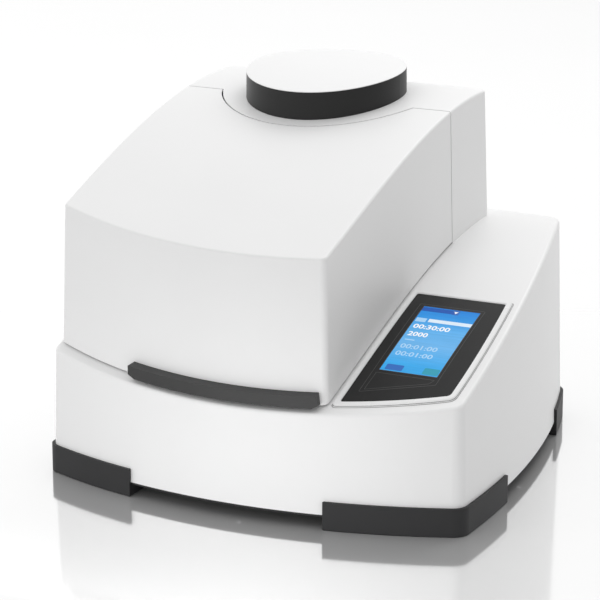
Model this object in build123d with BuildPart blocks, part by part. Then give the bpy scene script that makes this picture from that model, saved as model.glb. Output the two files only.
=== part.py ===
from build123d import *
from math import atan2, cos, degrees, pi, radians, sin, sqrt, tan
import os

# A closed bench-top ball mill: base with a console on the right, a tall hood on the left that swings up
# on two gooseneck arms, and a fixed rear tower with a round cap.
# Millimetres. +X right, -Y front, +Z up, Z = 0 is the table.

os.makedirs("parts", exist_ok=True)

# Shared clearances and sheet sizes
SEAT = 0.2
RUN = 0.05
MOVE = 0.3
SHELL = 4.0
DRAFT = 1.6
SLOPE = tan(radians(DRAFT))

# Base housing outline at its lower edge
BODY_Z = 20.0
BODY_LEFT = -308.5
FRONT_APEX = -322.5
FRONT_CORNER_Y = -257.2
RIGHT_CORNER_X = 307.1
RIGHT_MID = (297.4, -4.0)
REAR_RIGHT = (230.2, 300.5)
REAR_APEX = (-1.0, 314.5)
REAR_LEFT_Y = 289.0
BODY_CORNER_R = 22.0
REAR_RIGHT_R = 40.0
DECK_EDGE_R = 5.0

# Side curves of the deck and of the roof, control points in (y, z)
DECK = [(-344.0, 143.3), (-117.3, 222.2), (109.3, 319.8), (336.0, 291.0)]
ROOF = [(-344.0, 340.1), (-117.3, 415.2), (109.3, 515.1), (336.0, 470.4)]
OUTSIDE = 360.0

# Hood and tower outline at the height UPPER_Z
UPPER_Z = 140.0
UPPER_TALL = 380.0
UPPER_LEFT = -299.0
UPPER_RIGHT = 130.0
UPPER_SIDE_BULGE = 3.0
UPPER_FRONT_APEX = -304.2
UPPER_FRONT_R = 748.0
UPPER_REAR_Y = 265.0
UPPER_REAR_APEX = 279.5
UPPER_MID_X = (UPPER_LEFT + UPPER_RIGHT) / 2
UPPER_CORNER_R = 9.0
UPRIGHT = 150.0
ROOF_EDGE_R = 3.5
HOOD_LIFT = 3.0

# Seam between hood and tower
SEAM_Y = 122.0
TONGUE_Y = 180.3
TONGUE_R = 160.3
SEAM_GAP = 2.2
BULKHEAD = 2.0

# Round cap on the tower: its top follows a side curve too, control points in (y, z)
CAP_CURVE = [(-344.0, 373.7), (-117.3, 484.7), (109.3, 531.8), (336.0, 514.9)]
CAP_Y = 154.0
CAP_Z = 515.0
CAP_R = 114.7
CAP_DRAFT = 0.5
CAP_WALL = 6.0
CAP_EDGE = 1.0
CAP_SOFT = 0.8
CAP_PLUG = 3.0

# Corner feet
FOOT_LIP = 4.0
FOOT_TOP = 39.0
FOOT_INNER = 46.0
FOOT_FRONT_LEFT_X = -157.0
FOOT_FRONT_RIGHT_X = 133.0
FOOT_SIDE_Y = -108.0
FOOT_REAR_Y = 187.6
FOOT_CHAMFER = 1.0
PAN_T = 3.0
PAN_INSET = 1.0
PAN_SLOTS = 3
PAN_SLOT_PITCH = 60.0
PAN_SLOT = (40.0, 6.0)
DUCT_X = (-245.0, 72.0)
DUCT_Y = (188.0, 236.0)

# Grip strip on the hood
GRIP_LEFT = -160.0
GRIP_RIGHT = 121.0
GRIP_DEPTH = 13.0
GRIP_LOW = 2.0
GRIP_TALL = 16.4
GRIP_SLOPE = 2.2
GRIP_ROOT = 4.0
GRIP_CUT = 3.0
GRIP_STEPS = 8

# Grinding chamber
TUB_MARGIN = 27.0
TUB_BACK = 8.0
TUB_SHEET = 2.0
TUB_FLOOR = 128.0
TUB_FLANGE = 9.0
TUB_CORNER = 30.0
GASKET_WIDE = 7.0
GASKET_TALL = 5.0

# Eccentric drive
CRANK_X = (-175.0, 6.0)
CRANK_Y = (-176.0, -60.0)
STROKE = 17.0
SHAFT_R = 12.5
SHAFT_LOW = 26.0
SEAL_R = 28.0
SEAL_TALL = 6.0
WEIGHT_GAP = 3.0
WEIGHT_R = 48.0
WEIGHT_T = 8.0
DISC_R = 34.0
DISC_T = 10.0
PIN_R = 8.0
PIN_TALL = 13.0
DRIVE_PLATE_Z = 96.0
DRIVE_PLATE_T = 10.0
DRIVE_MARGIN_X = 87.0
DRIVE_MARGIN_Y = 59.0
BEARING_R = 26.0
BEARING_T = 15.0
BEARING_LIP = 4.0
HOUSING_DROP = 34.0
HOUSING_R = 31.0
FLANGE_R = 42.0
FLANGE_T = 6.0
PULLEY_R = 30.0
PULLEY_TALL = 14.0
BELT_T = 3.0
BELT_MARGIN = 1.0
MOTOR_BELT_Z = 28.0
DRIVE_BELT_Z = 46.0
LEG_R = 12.0
MOUNT_R = 20.0
MOUNT_TALL = 18.0
LEG_INSET = 17.0

# Motor under the console
MOTOR_X = 215.0
MOTOR_Y = -118.0
MOTOR_R = 58.0
MOTOR_TALL = 105.0
MOTOR_SHAFT_R = 10.0
MOTOR_PLATE = 140.0
MOTOR_LEG_R = 8.0
MOTOR_LEG_INSET = 8.0
MOTOR_CAP_T = 8.0
MOTOR_RIBS = 16
MOTOR_RIB = 5.0
MOTOR_PLATE_T = 8.0
MOTOR_PLATE_Z = 58.0
ROTOR_R = 34.0
ROTOR_TALL = 70.0
ROTOR_GAP = 1.0

# Jars and what holds them
PLATE_WIDE = 130.0
PLATE_LONG = 180.0
PLATE_T = 16.0
PLATE_GAP = 2.0
JAR_CHAMFER = 1.5
LID_CHAMFER = 2.5
SEAL_INSET = 1.0
PLATE_CORNER = 34.0
JAR_WIDE = 100.0
JAR_LONG = 142.0
JAR_TALL = 80.0
JAR_WALL = 9.0
CRADLE_WALL = 6.0
CRADLE_TALL = 22.0
LID_T = 12.0
LID_BOSS_R = 16.0
LID_BOSS = 4.0
LID_PLUG = 5.0
LID_SEAL = 1.0
POST_Y = 81.0
POST_R = 7.0
STUD_R = 5.0
BAR_T = 10.0
BAR_WIDE = 26.0
KNOB_R = 17.0
KNOB_TALL = 20.0
KNOB_LOBES = 6
KNOB_DIMPLE_R = 6.0
STUD_IN_KNOB = 14.0
KNOB_CHAMFER = 1.0

# Hood hinge
HINGE_Y = 232.0
HINGE_Z = 460.0
HINGE_X = (-268.0, 97.0)
ARM_IN = 116.0
ARM_OUT = 134.0
ARM_T = 8.0
ARM_LOW = 80.0
ARM_HUB = 12.0
ARM_LINK = 16.0
ARM_REACH = 66.0
ARM_PAD_T = 4.0
ARM_PAD_WIDE = 26.0
HINGE_PIN_R = 5.0
HINGE_CHEEK = 5.0
SLOT_SIDE = 4.0

# Latch at the front of the chamber
STRIKER_Y = -286.0
STRIKER_WIDE = 24.0
STRIKER_T = 3.0
STRIKER_REACH = 24.0
STRIKER_EDGE = 6.5
STRIKER_PLAY = 1.0
BOLT_R = 3.0
BOLT_LONG = 15.0
LATCH_WIDE = 46.0
LATCH_LOW = 134.0

# Console panel
PANEL_LEFT = 133.0
PANEL_REAR = -22.0
PANEL_EDGE = 19.0
BEZEL_WIDE = 9.0
BEZEL_RISE = 3.2
BEZEL_STEP = 1.0
BEZEL_LIP = 1.2
BEZEL_SHOULDER = 2.5
PANEL_R = 6.0
GLASS_R = 3.0
GLASS_RISE = 2.0
LCD_LEFT = 164.0
LCD_WIDE = 82.5
LCD_FRONT = -205.5
LCD_LONG = 147.0
DISPLAY_T = 11.0
DISPLAY_BORDER = 7.0
BOARD_T = 1.6
BOARD_GAP = 4.0

# Cooling
TANK_TOP = 428.0
TANK_R = 140.0
TANK_BACK = 148.0
NECK_R = 24.0
RADIATOR_WIDE = 200.0
RADIATOR_TOP = 440.0
RADIATOR_FRAME = 9.0
RADIATOR_Y = 156.0
RADIATOR_T = 26.0
FIN_COUNT = 14
FIN_T = 1.6
FAN_Z = 370.0
FAN_Y = 184.0
FAN_R = 56.0
FAN_HUB_R = 20.0
FAN_DEEP = 14.0
FAN_SHAFT_R = 3.0
BLADE_T = 2.0
BLADE_PITCH = 35.0
SHROUD_DEEP = 22.0
STRUT = 8.0
FAN_BLADES = 7
FAN_STRUTS = 3
FAN_GAP = 2.0
FAN_SET = 1.0
BLADE_ROOT = 2.0
FAN_FRAME = 132.0
GRILLE_WIDE = 190.0
GRILLE_TALL = 120.0
GRILLE_Z = 325.0
LOUVRES = 9
LOUVRE_GAP = 6.0
LOUVRE_TILT = 28.0
GRILLE_FRAME = 9.0
LOUVRE_REACH = 20.0
HOSE_INSET = 12.5
PUMP_X = UPPER_MID_X - RADIATOR_WIDE / 2 + HOSE_INSET
PUMP_Y = 204.0
PUMP_R = 30.0
PUMP_TALL = 84.0
HOSE_R = 8.0
HOSE_WALL = 2.0
HOSE_TOP = 340.0
COUPLING_R = 9.0
COUPLING_X = (-235.0, -195.0)
COUPLING_Z = 72.0
COUPLING_END = 322.5
COUPLING_FLANGE_R = 13.0
COUPLING_FLANGE_T = 3.0
COUPLING_BORE = 5.5
COUPLING_INSIDE = 22.0

# Connection panel in the rear wall
REAR_PANEL_X = (-258.0, 194.0)
REAR_PANEL_Z = (44.0, 100.0)
REAR_PANEL_LAP = 6.0
REAR_PANEL_T = 2.0

# Mains side
INLET_X = 110.0
INLET_Z = 72.0
INLET_WIDE = 28.0
INLET_TALL = 22.0
INLET_DEEP = 30.0
SWITCH_X = 165.0
SWITCH_WIDE = 22.0
SWITCH_TALL = 30.0
SOCKET_WALL = 2.5
FLANGE_PLATE = 2.0
FLANGE_EDGE = 8.0
PIN_BLADE = (2.0, 6.0)
ROCKER_DEEP = 12.0
ROCKER_RISE = 3.0
ROCKER_GAP = 1.0
AXLE_R = 1.5
AXLE_DEEP = 4.5
AXLE_REACH = 1.5
SUPPLY = (90.0, 130.0, 80.0)
SUPPLY_AT = (185.0, 100.0)
CONTROLLER = (100.0, 120.0, 110.0)
CONTROLLER_AT = (-235.0, 90.0)
BOX_EDGE = 4.0

# Screws
SCREW_R = 2.5
SCREW_HEAD_R = 4.5
SCREW_HEAD = 3.0
SCREW_RING = 36.5
SCREWS_EACH = 4
SCREW_START = 45.0

# Values that follow from the sizes above
PAN_TOP = BODY_Z
FLOOR_TOP = TUB_FLOOR + TUB_SHEET
WEIGHT_Z = FLOOR_TOP + SEAL_TALL - TUB_SHEET + WEIGHT_GAP
DISC_Z = WEIGHT_Z + WEIGHT_T
PIN_Z = DISC_Z + DISC_T
PLATE_Z = PIN_Z + PLATE_GAP
JAR_Z = PLATE_Z + PLATE_T + SEAT
LID_Z = JAR_Z + JAR_TALL + LID_SEAL
BOSS_TOP = LID_Z + LID_T + LID_BOSS
BAR_Z = BOSS_TOP + SEAT
KNOB_Z = BAR_Z + BAR_T + SEAT
BRACKET_Y = (CRANK_Y[0] + CRANK_Y[1]) / 2
PIN_OFFSET = (-STROKE, STROKE)
FRAME_RISE = TUB_SHEET + GASKET_TALL + MOVE


def curve_at(points, y):
    """Height of a side curve at the given y, by its evenly spaced control points."""
    t = (y - points[0][0]) / (points[3][0] - points[0][0])
    weights = ((1 - t) ** 3, 3 * t * (1 - t) ** 2, 3 * t * t * (1 - t), t ** 3)
    return sum(weight * point[1] for weight, point in zip(weights, points))


def front_y(x):
    """Front outline of the hood at height UPPER_Z."""
    return UPPER_FRONT_APEX + UPPER_FRONT_R - sqrt(UPPER_FRONT_R ** 2 - x ** 2)


def body_plan(inset):
    """Outline of the base at its lower edge, moved in by inset."""
    with BuildSketch() as plan:
        with BuildLine():
            ThreePointArc((BODY_LEFT, FRONT_CORNER_Y), (0, FRONT_APEX), (RIGHT_CORNER_X, FRONT_CORNER_Y))
            ThreePointArc((RIGHT_CORNER_X, FRONT_CORNER_Y), RIGHT_MID, REAR_RIGHT)
            ThreePointArc(REAR_RIGHT, REAR_APEX, (BODY_LEFT, REAR_LEFT_Y))
            Line((BODY_LEFT, REAR_LEFT_Y), (BODY_LEFT, FRONT_CORNER_Y))
        make_face()
        offset(amount=-inset, kind=Kind.INTERSECTION)
        small_r = max(BODY_CORNER_R - inset / 2, SHELL)
        large_r = max(REAR_RIGHT_R - inset / 2, SHELL)
        fillet(plan.vertices().sort_by(Axis.X)[-1], radius=small_r)
        fillet(plan.vertices().sort_by(Axis.X)[:2], radius=small_r)
        fillet(plan.vertices().filter_by_position(Axis.X, 0, OUTSIDE).sort_by(Axis.Y)[-1], radius=large_r)
    return plan.sketch


def upper_plan(inset):
    """Outline of hood and tower together at height UPPER_Z, moved in by inset."""
    front_left = (UPPER_LEFT, front_y(UPPER_LEFT))
    front_right = (UPPER_RIGHT, front_y(UPPER_RIGHT))
    rear_left = (UPPER_LEFT, UPPER_REAR_Y)
    rear_right = (UPPER_RIGHT, UPPER_REAR_Y)
    with BuildSketch() as plan:
        with BuildLine():
            ThreePointArc(front_left, (UPPER_MID_X, front_y(UPPER_MID_X)), front_right)
            ThreePointArc(front_right, (UPPER_RIGHT + UPPER_SIDE_BULGE, 0), rear_right)
            ThreePointArc(rear_right, (UPPER_MID_X, UPPER_REAR_APEX), rear_left)
            ThreePointArc(rear_left, (UPPER_LEFT - UPPER_SIDE_BULGE, 0), front_left)
        make_face()
        offset(amount=-inset, kind=Kind.INTERSECTION)
    return plan.sketch


def side_section(low_curve, low_shift, high_curve, high_shift):
    """Side view region between two side curves, each moved up by its shift."""
    low = [(y, z + low_shift) for y, z in low_curve]
    high = [(y, z + high_shift) for y, z in high_curve]
    with BuildSketch(Plane.YZ) as section:
        with BuildLine():
            Bezier(*low)
            Line(low[-1], high[-1])
            Bezier(*high)
            Line(high[0], low[0])
        make_face()
    return section.sketch


def under(curve, shift):
    """Side view region from the table up to a side curve moved up by shift."""
    table = [(y, 0.0) for y, z in curve]
    return side_section(table, 0.0, curve, shift)


def body_block(inset, deck_shift):
    """Solid of the base outline under the deck curve."""
    with BuildPart() as block:
        with BuildSketch(Plane.XY.offset(BODY_Z)):
            add(body_plan(inset))
        extrude(amount=OUTSIDE, taper=DRAFT)
        extrude(under(DECK, deck_shift), amount=OUTSIDE, both=True, mode=Mode.INTERSECT)
    return block.part


def upper_block(inset, low_shift, roof_shift):
    """Solid of the hood and tower outline between the deck and roof curves."""
    with BuildPart() as block:
        with BuildSketch(Plane.XY.offset(UPPER_Z)):
            add(upper_plan(inset))
        extrude(amount=UPPER_TALL, taper=DRAFT)
        side = side_section(DECK, low_shift, ROOF, roof_shift)
        extrude(side, amount=OUTSIDE, both=True, mode=Mode.INTERSECT)
        corners = block.edges().filter_by(lambda edge: edge.bounding_box().size.Z > UPRIGHT)
        fillet(corners, radius=UPPER_CORNER_R - min(inset, SHELL))
    return block.part


def tower_region(grow):
    """Plan region behind the seam: straight at the sides, with a round tongue in the middle."""
    with BuildSketch() as region:
        with Locations((0, SEAM_Y - grow)):
            Rectangle(2 * OUTSIDE, OUTSIDE, align=(Align.CENTER, Align.MIN))
        with Locations((UPPER_MID_X, TONGUE_Y)):
            Circle(TONGUE_R + grow)
    return region.sketch


def tub_plan(grow):
    """Plan of the grinding chamber, grown outwards."""
    with BuildSketch() as plan:
        add(upper_plan(TUB_MARGIN - grow))
        with Locations((0, TUB_BACK + grow)):
            Rectangle(2 * OUTSIDE, OUTSIDE, align=(Align.CENTER, Align.MIN), mode=Mode.SUBTRACT)
        back = plan.vertices().group_by(Axis.Y)[-1]
        fillet(back, radius=TUB_CORNER + grow)
        rows = plan.vertices().group_by(Axis.Y)
        fillet(rows[0] + rows[1], radius=TUB_CORNER + grow)
    return plan.sketch


def slab(plan, curve, low, high):
    """A plan cut out of the layer between two shifts of one side curve."""
    with BuildPart() as layer:
        with BuildSketch():
            add(plan)
        extrude(amount=2 * OUTSIDE)
        extrude(side_section(curve, low, curve, high), amount=OUTSIDE, both=True, mode=Mode.INTERSECT)
    return layer.part


def ring_plan(outer, inner):
    """One plan with another taken out of it."""
    with BuildSketch() as ring:
        add(outer)
        add(inner, mode=Mode.SUBTRACT)
    return ring.sketch


def keep(plan, x_min, x_max, y_min, y_max):
    """The piece of a plan inside a rectangle."""
    with BuildSketch() as part_plan:
        add(plan)
        with Locations(((x_min + x_max) / 2, (y_min + y_max) / 2)):
            Rectangle(x_max - x_min, y_max - y_min, mode=Mode.INTERSECT)
    return part_plan.sketch


def save(piece, name):
    """Label a finished piece and write its file."""
    piece.part.label = name
    export_step(piece.part, f"parts/{name}.step")


def save_group(pieces, name):
    """Write several finished solids as one node."""
    group = Compound(children=pieces)
    group.label = name
    export_step(group, f"parts/{name}.step")


def rear_wall_y(x, z):
    """Outer face of the base's rear wall at a place."""
    chord = REAR_RIGHT[0] - REAR_APEX[0]
    sag = REAR_APEX[1] - REAR_RIGHT[1]
    radius = (chord ** 2 + sag ** 2) / (2 * sag)
    return REAR_APEX[1] - (x - REAR_APEX[0]) ** 2 / (2 * radius) - (z - BODY_Z) * SLOPE


def rear_window(grow):
    """Rear view rectangle of the connection panel, grown outwards."""
    with BuildSketch(Plane.XZ) as window:
        with Locations((sum(REAR_PANEL_X) / 2, sum(REAR_PANEL_Z) / 2)):
            wide = REAR_PANEL_X[1] - REAR_PANEL_X[0] + 2 * grow
            tall = REAR_PANEL_Z[1] - REAR_PANEL_Z[0] + 2 * grow
            Rectangle(wide, tall)
    return window.sketch


def panel_plan(inset, corner):
    """Console panel outline: follows the front and right edges of the base, with three rounded corners."""
    with BuildSketch() as plan:
        add(keep(body_plan(PANEL_EDGE + inset), PANEL_LEFT + inset, OUTSIDE, -OUTSIDE, PANEL_REAR - inset))
        rear = plan.vertices().group_by(Axis.Y)[-1]
        front_left = plan.vertices().group_by(Axis.X)[0].sort_by(Axis.Y)[0]
        fillet([*rear, front_left], radius=corner)
    return plan.sketch


def lcd_plan(grow):
    """Plan rectangle of the display window."""
    with BuildSketch() as window:
        with Locations((LCD_LEFT + LCD_WIDE / 2, LCD_FRONT + LCD_LONG / 2)):
            Rectangle(LCD_WIDE + 2 * grow, LCD_LONG + 2 * grow)
    return window.sketch


def cap_cone(radius):
    """Drafted round column of the cap, with the given radius at the height CAP_Z."""
    low = curve_at(ROOF, CAP_Y - CAP_R) - CAP_WALL
    with BuildPart() as cone:
        with BuildSketch(Plane.XY.offset(low)):
            with Locations((UPPER_MID_X, CAP_Y)):
                Circle(radius + (CAP_Z - low) * tan(radians(CAP_DRAFT)))
        extrude(amount=2 * (CAP_Z - low), taper=CAP_DRAFT)
    return cone.part


# The hood's striker plate swings forward as it rises
STRIKER_LOW = curve_at(DECK, STRIKER_Y) - STRIKER_REACH
STRIKER_LEAN = (HINGE_Z - STRIKER_LOW) / (HINGE_Y - STRIKER_Y)
STRIKER_SWING = STRIKER_REACH * STRIKER_LEAN + MOVE

# Base housing: drafted shell with a sloping deck, open at the chamber, panel, rear window and cooling duct
with BuildPart() as base_housing:
    add(body_block(0, 0))
    deck_edges = faces().sort_by(Axis.Z)[-1].edges()
    fillet(deck_edges, radius=DECK_EDGE_R)
    add(body_block(SHELL, -SHELL), mode=Mode.SUBTRACT)
    with BuildSketch():
        add(tub_plan(SEAT))
    extrude(amount=OUTSIDE, mode=Mode.SUBTRACT)
    with BuildSketch(Plane.XY.offset(UPPER_Z)):
        add(lcd_plan(DISPLAY_BORDER + SEAT))
        with Locations(((DUCT_X[0] + DUCT_X[1]) / 2, (DUCT_Y[0] + DUCT_Y[1]) / 2)):
            Rectangle(DUCT_X[1] - DUCT_X[0], DUCT_Y[1] - DUCT_Y[0])
        with Locations((UPPER_MID_X, STRIKER_Y - STRIKER_SWING / 2)):
            Rectangle(STRIKER_WIDE + SHELL, STRIKER_SWING + STRIKER_T + 2 * MOVE)
    extrude(amount=OUTSIDE, mode=Mode.SUBTRACT)
    extrude(rear_window(SEAT), amount=-OUTSIDE, mode=Mode.SUBTRACT)
save(base_housing, "base_housing")

# Connection panels: two plates fill the rear window flush, with a lap behind the wall, and one carries the
# couplings, the other the mains inlet with its switch
with BuildPart() as rear_panel:
    extrude(rear_window(REAR_PANEL_LAP), amount=-OUTSIDE)
    add(body_block(SHELL + SEAT, -SHELL), mode=Mode.INTERSECT)
    extrude(rear_window(0), amount=-OUTSIDE)
    add(body_block(0, 0), mode=Mode.INTERSECT)
    add(body_block(SHELL + SEAT + REAR_PANEL_T, 0), mode=Mode.SUBTRACT)
    with BuildSketch(Plane.XZ):
        with Locations([(x, COUPLING_Z) for x in COUPLING_X]):
            Circle(COUPLING_R + SEAT)
        with Locations((INLET_X, INLET_Z)):
            Rectangle(INLET_WIDE + 2 * SEAT, INLET_TALL + 2 * SEAT)
        with Locations((SWITCH_X, INLET_Z)):
            Rectangle(SWITCH_WIDE + 2 * SEAT, SWITCH_TALL + 2 * SEAT)
        with Locations((sum(REAR_PANEL_X) / 2, sum(REAR_PANEL_Z) / 2)):
            Rectangle(SEAT, OUTSIDE)
    extrude(amount=-OUTSIDE, mode=Mode.SUBTRACT)
save(rear_panel, "rear_panel")

with BuildPart() as base_pan:
    with BuildSketch(Plane.XY.offset(PAN_TOP - PAN_T)):
        add(body_plan(PAN_INSET))
        with GridLocations(PAN_SLOT_PITCH, PAN_SLOT_PITCH, PAN_SLOTS, PAN_SLOTS):
            SlotOverall(*PAN_SLOT, mode=Mode.SUBTRACT)
    extrude(amount=PAN_T)
save(base_pan, "base_pan")


# Corner feet: a lip outside the housing and a block under it
def corner_foot(x_min, x_max, y_min, y_max):
    """One dark corner foot inside the given plan rectangle."""
    outer = body_plan(-FOOT_LIP)
    with BuildPart() as foot:
        with BuildSketch():
            add(keep(ring_plan(outer, body_plan(FOOT_INNER)), x_min, x_max, y_min, y_max))
        extrude(amount=PAN_TOP - PAN_T - SEAT)
        with BuildSketch():
            add(keep(outer, x_min, x_max, y_min, y_max))
        extrude(amount=FOOT_TOP, mode=Mode.ADD)
        with BuildSketch(Plane.XY.offset(PAN_TOP - PAN_T - SEAT)):
            add(body_plan(-SEAT))
        extrude(amount=OUTSIDE, taper=DRAFT, mode=Mode.SUBTRACT)
        with BuildSketch():
            add(keep(body_plan(FOOT_INNER), x_min, x_max, y_min, y_max))
        extrude(amount=PAN_TOP, mode=Mode.SUBTRACT)
        rim = foot.faces().sort_by(Axis.Z)[0].edges()
        chamfer(rim, length=FOOT_CHAMFER)
    return foot


FEET = (
    (-OUTSIDE, FOOT_FRONT_LEFT_X, -OUTSIDE, FOOT_SIDE_Y),
    (FOOT_FRONT_RIGHT_X, OUTSIDE, -OUTSIDE, FOOT_SIDE_Y),
    (-OUTSIDE, FOOT_FRONT_LEFT_X, FOOT_REAR_Y, OUTSIDE),
    (FOOT_FRONT_RIGHT_X, OUTSIDE, FOOT_REAR_Y, OUTSIDE),
)
save_group([corner_foot(*foot_box).part for foot_box in FEET], "corner_feet")

# Hood and tower are one drafted shell, cut apart along the seam
with BuildPart() as upper_shell:
    add(upper_block(0, 0, 0))
    roof_edges = faces().sort_by(Axis.Z)[-1].edges()
    fillet(roof_edges, radius=ROOF_EDGE_R)
    add(upper_block(SHELL, -2 * SHELL, -SHELL), mode=Mode.SUBTRACT)

with BuildPart() as tower_housing:
    add(upper_shell.part)
    with BuildSketch():
        add(tower_region(0))
    extrude(amount=2 * OUTSIDE, mode=Mode.INTERSECT)
    with BuildSketch(Plane.XZ.offset(-UPPER_REAR_Y + 3 * SHELL)):
        with Locations((UPPER_MID_X, GRILLE_Z)):
            Rectangle(GRILLE_WIDE, GRILLE_TALL, align=(Align.CENTER, Align.MIN))
    extrude(amount=-OUTSIDE, mode=Mode.SUBTRACT)
save(tower_housing, "tower_housing")

with BuildPart() as hood_shell:
    add(upper_shell.part)
    with BuildSketch():
        add(tower_region(SEAM_GAP))
    extrude(amount=2 * OUTSIDE, mode=Mode.SUBTRACT)
    extrude(under(DECK, HOOD_LIFT), amount=OUTSIDE, both=True, mode=Mode.SUBTRACT)
save(hood_shell, "hood_shell")

# Sheet bulkhead that closes the tower towards the chamber, slotted for the two hinge arms
with BuildPart() as tower_bulkhead:
    add(upper_block(SHELL + SEAT, 0, -SHELL - SEAT))
    with BuildSketch():
        add(ring_plan(tower_region(0), tower_region(-BULKHEAD)))
    extrude(amount=2 * OUTSIDE, mode=Mode.INTERSECT)
    with BuildSketch(Plane.XZ.offset(-SEAM_Y + 2 * BULKHEAD)):
        with Locations([(x, HINGE_Z - ARM_IN) for x in HINGE_X]):
            Rectangle(ARM_T + 2 * SLOT_SIDE, ARM_IN + SHELL, align=(Align.CENTER, Align.MIN))
    extrude(amount=-3 * BULKHEAD, mode=Mode.SUBTRACT)
save(tower_bulkhead, "tower_bulkhead")

# Hood frame: a U shaped flange inside the hood's lower edge that meets the chamber gasket
with BuildPart() as hood_frame:
    add(upper_block(SHELL + SEAT, FRAME_RISE, -SHELL))
    extrude(under(DECK, FRAME_RISE + SHELL), amount=OUTSIDE, both=True, mode=Mode.INTERSECT)
    with BuildSketch():
        add(keep(ring_plan(upper_plan(0), tub_plan(0)), -OUTSIDE, OUTSIDE, -OUTSIDE, 0))
    extrude(amount=2 * OUTSIDE, mode=Mode.INTERSECT)
save(hood_frame, "hood_frame")

# Grip: a bar swept along the hood's lower front edge, its top sloping out and its lower ends cut back
def edge_point(x):
    """Place on the hood's lower front edge."""
    y = front_y(x)
    return (x, y, curve_at(DECK, y))


def end_cut(x, inwards):
    """Wedge that takes the lower corner off one end of the grip."""
    z = edge_point(x)[2] + GRIP_LOW
    far_x = x - inwards * GRIP_DEPTH
    with BuildPart() as wedge:
        with BuildSketch(Plane.XZ):
            with BuildLine():
                Polyline(
                    (far_x, z - GRIP_CUT),
                    (far_x, z + GRIP_CUT + GRIP_DEPTH / 2),
                    (x + inwards * 4 * GRIP_CUT, z - GRIP_CUT),
                    close=True,
                )
            make_face()
        extrude(amount=OUTSIDE)
    return wedge.part


with BuildPart() as hood_grip:
    with BuildLine():
        reach = (GRIP_RIGHT - GRIP_LEFT) / GRIP_STEPS
        edge_line = Spline([edge_point(GRIP_LEFT + step * reach) for step in range(GRIP_STEPS + 1)])
    start_way = edge_line % 0
    grip_end = Plane(
        origin=edge_line @ 0, x_dir=(start_way.Y, -start_way.X, 0), z_dir=(-start_way.X, -start_way.Y, 0)
    )
    with BuildSketch(grip_end):
        with BuildLine():
            Polyline(
                (-GRIP_ROOT, GRIP_LOW),
                (GRIP_DEPTH, GRIP_LOW),
                (GRIP_DEPTH, GRIP_LOW + GRIP_TALL),
                (-GRIP_ROOT, GRIP_LOW + GRIP_TALL + GRIP_SLOPE * (1 + GRIP_ROOT / GRIP_DEPTH)),
                close=True,
            )
        make_face()
    sweep(path=edge_line)
    with BuildSketch(Plane.XY.offset(UPPER_Z)):
        add(upper_plan(-SEAT))
    extrude(amount=OUTSIDE, taper=DRAFT, mode=Mode.SUBTRACT)
    add(end_cut(GRIP_LEFT, 1), mode=Mode.SUBTRACT)
    add(end_cut(GRIP_RIGHT, -1), mode=Mode.SUBTRACT)
save(hood_grip, "hood_grip")

# Round cap: dark band that stands on the roof, with a white top that fits into it
with BuildPart() as cap_band:
    add(cap_cone(CAP_R))
    extrude(under(CAP_CURVE, -CAP_EDGE), amount=OUTSIDE, both=True, mode=Mode.INTERSECT)
    extrude(under(ROOF, SEAT), amount=OUTSIDE, both=True, mode=Mode.SUBTRACT)
    add(cap_cone(CAP_R - CAP_WALL), mode=Mode.SUBTRACT)
save(cap_band, "cap_band")

with BuildPart() as cap_top:
    add(cap_cone(CAP_R))
    extrude(side_section(CAP_CURVE, -CAP_EDGE, CAP_CURVE, 0), amount=OUTSIDE, both=True, mode=Mode.INTERSECT)
    fillet(faces().sort_by(Axis.Z)[-1].edges(), radius=CAP_SOFT)
    with BuildPart(mode=Mode.ADD):
        add(cap_cone(CAP_R - CAP_WALL - SEAT))
        plug_section = side_section(CAP_CURVE, -CAP_EDGE - CAP_PLUG, CAP_CURVE, -CAP_EDGE)
        extrude(plug_section, amount=OUTSIDE, both=True, mode=Mode.INTERSECT)
save(cap_top, "cap_top")

# Console panel: a stepped white rim round the dark glass
with BuildPart() as panel_bezel:
    glass_hole = panel_plan(BEZEL_WIDE, GLASS_R)
    crest_hole = panel_plan(BEZEL_WIDE - BEZEL_STEP, GLASS_R + BEZEL_STEP)
    add(slab(ring_plan(panel_plan(0, PANEL_R), glass_hole), DECK, SEAT, BEZEL_LIP))
    shoulder = ring_plan(panel_plan(BEZEL_STEP, PANEL_R - BEZEL_STEP), glass_hole)
    add(slab(shoulder, DECK, BEZEL_LIP, BEZEL_SHOULDER))
    crest = ring_plan(panel_plan(2 * BEZEL_STEP, PANEL_R - 2 * BEZEL_STEP), crest_hole)
    add(slab(crest, DECK, BEZEL_SHOULDER, BEZEL_RISE))
save(panel_bezel, "panel_bezel")

with BuildPart() as panel_glass:
    add(slab(panel_plan(BEZEL_WIDE + SEAT, GLASS_R), DECK, SEAT, GLASS_RISE))
    add(slab(lcd_plan(0), DECK, 0, 2 * GLASS_RISE), mode=Mode.SUBTRACT)
save(panel_glass, "panel_glass")

with BuildPart() as display_window:
    add(slab(lcd_plan(-SEAT), DECK, SEAT, GLASS_RISE - SEAT))
save(display_window, "display_window")

with BuildPart() as display_module:
    add(slab(lcd_plan(DISPLAY_BORDER), DECK, -DISPLAY_T, 0))
    add(slab(lcd_plan(DISPLAY_BORDER - BOARD_GAP), DECK, -DISPLAY_T - SEAT - BOARD_T, -DISPLAY_T - SEAT))
save(display_module, "display_module")

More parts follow.
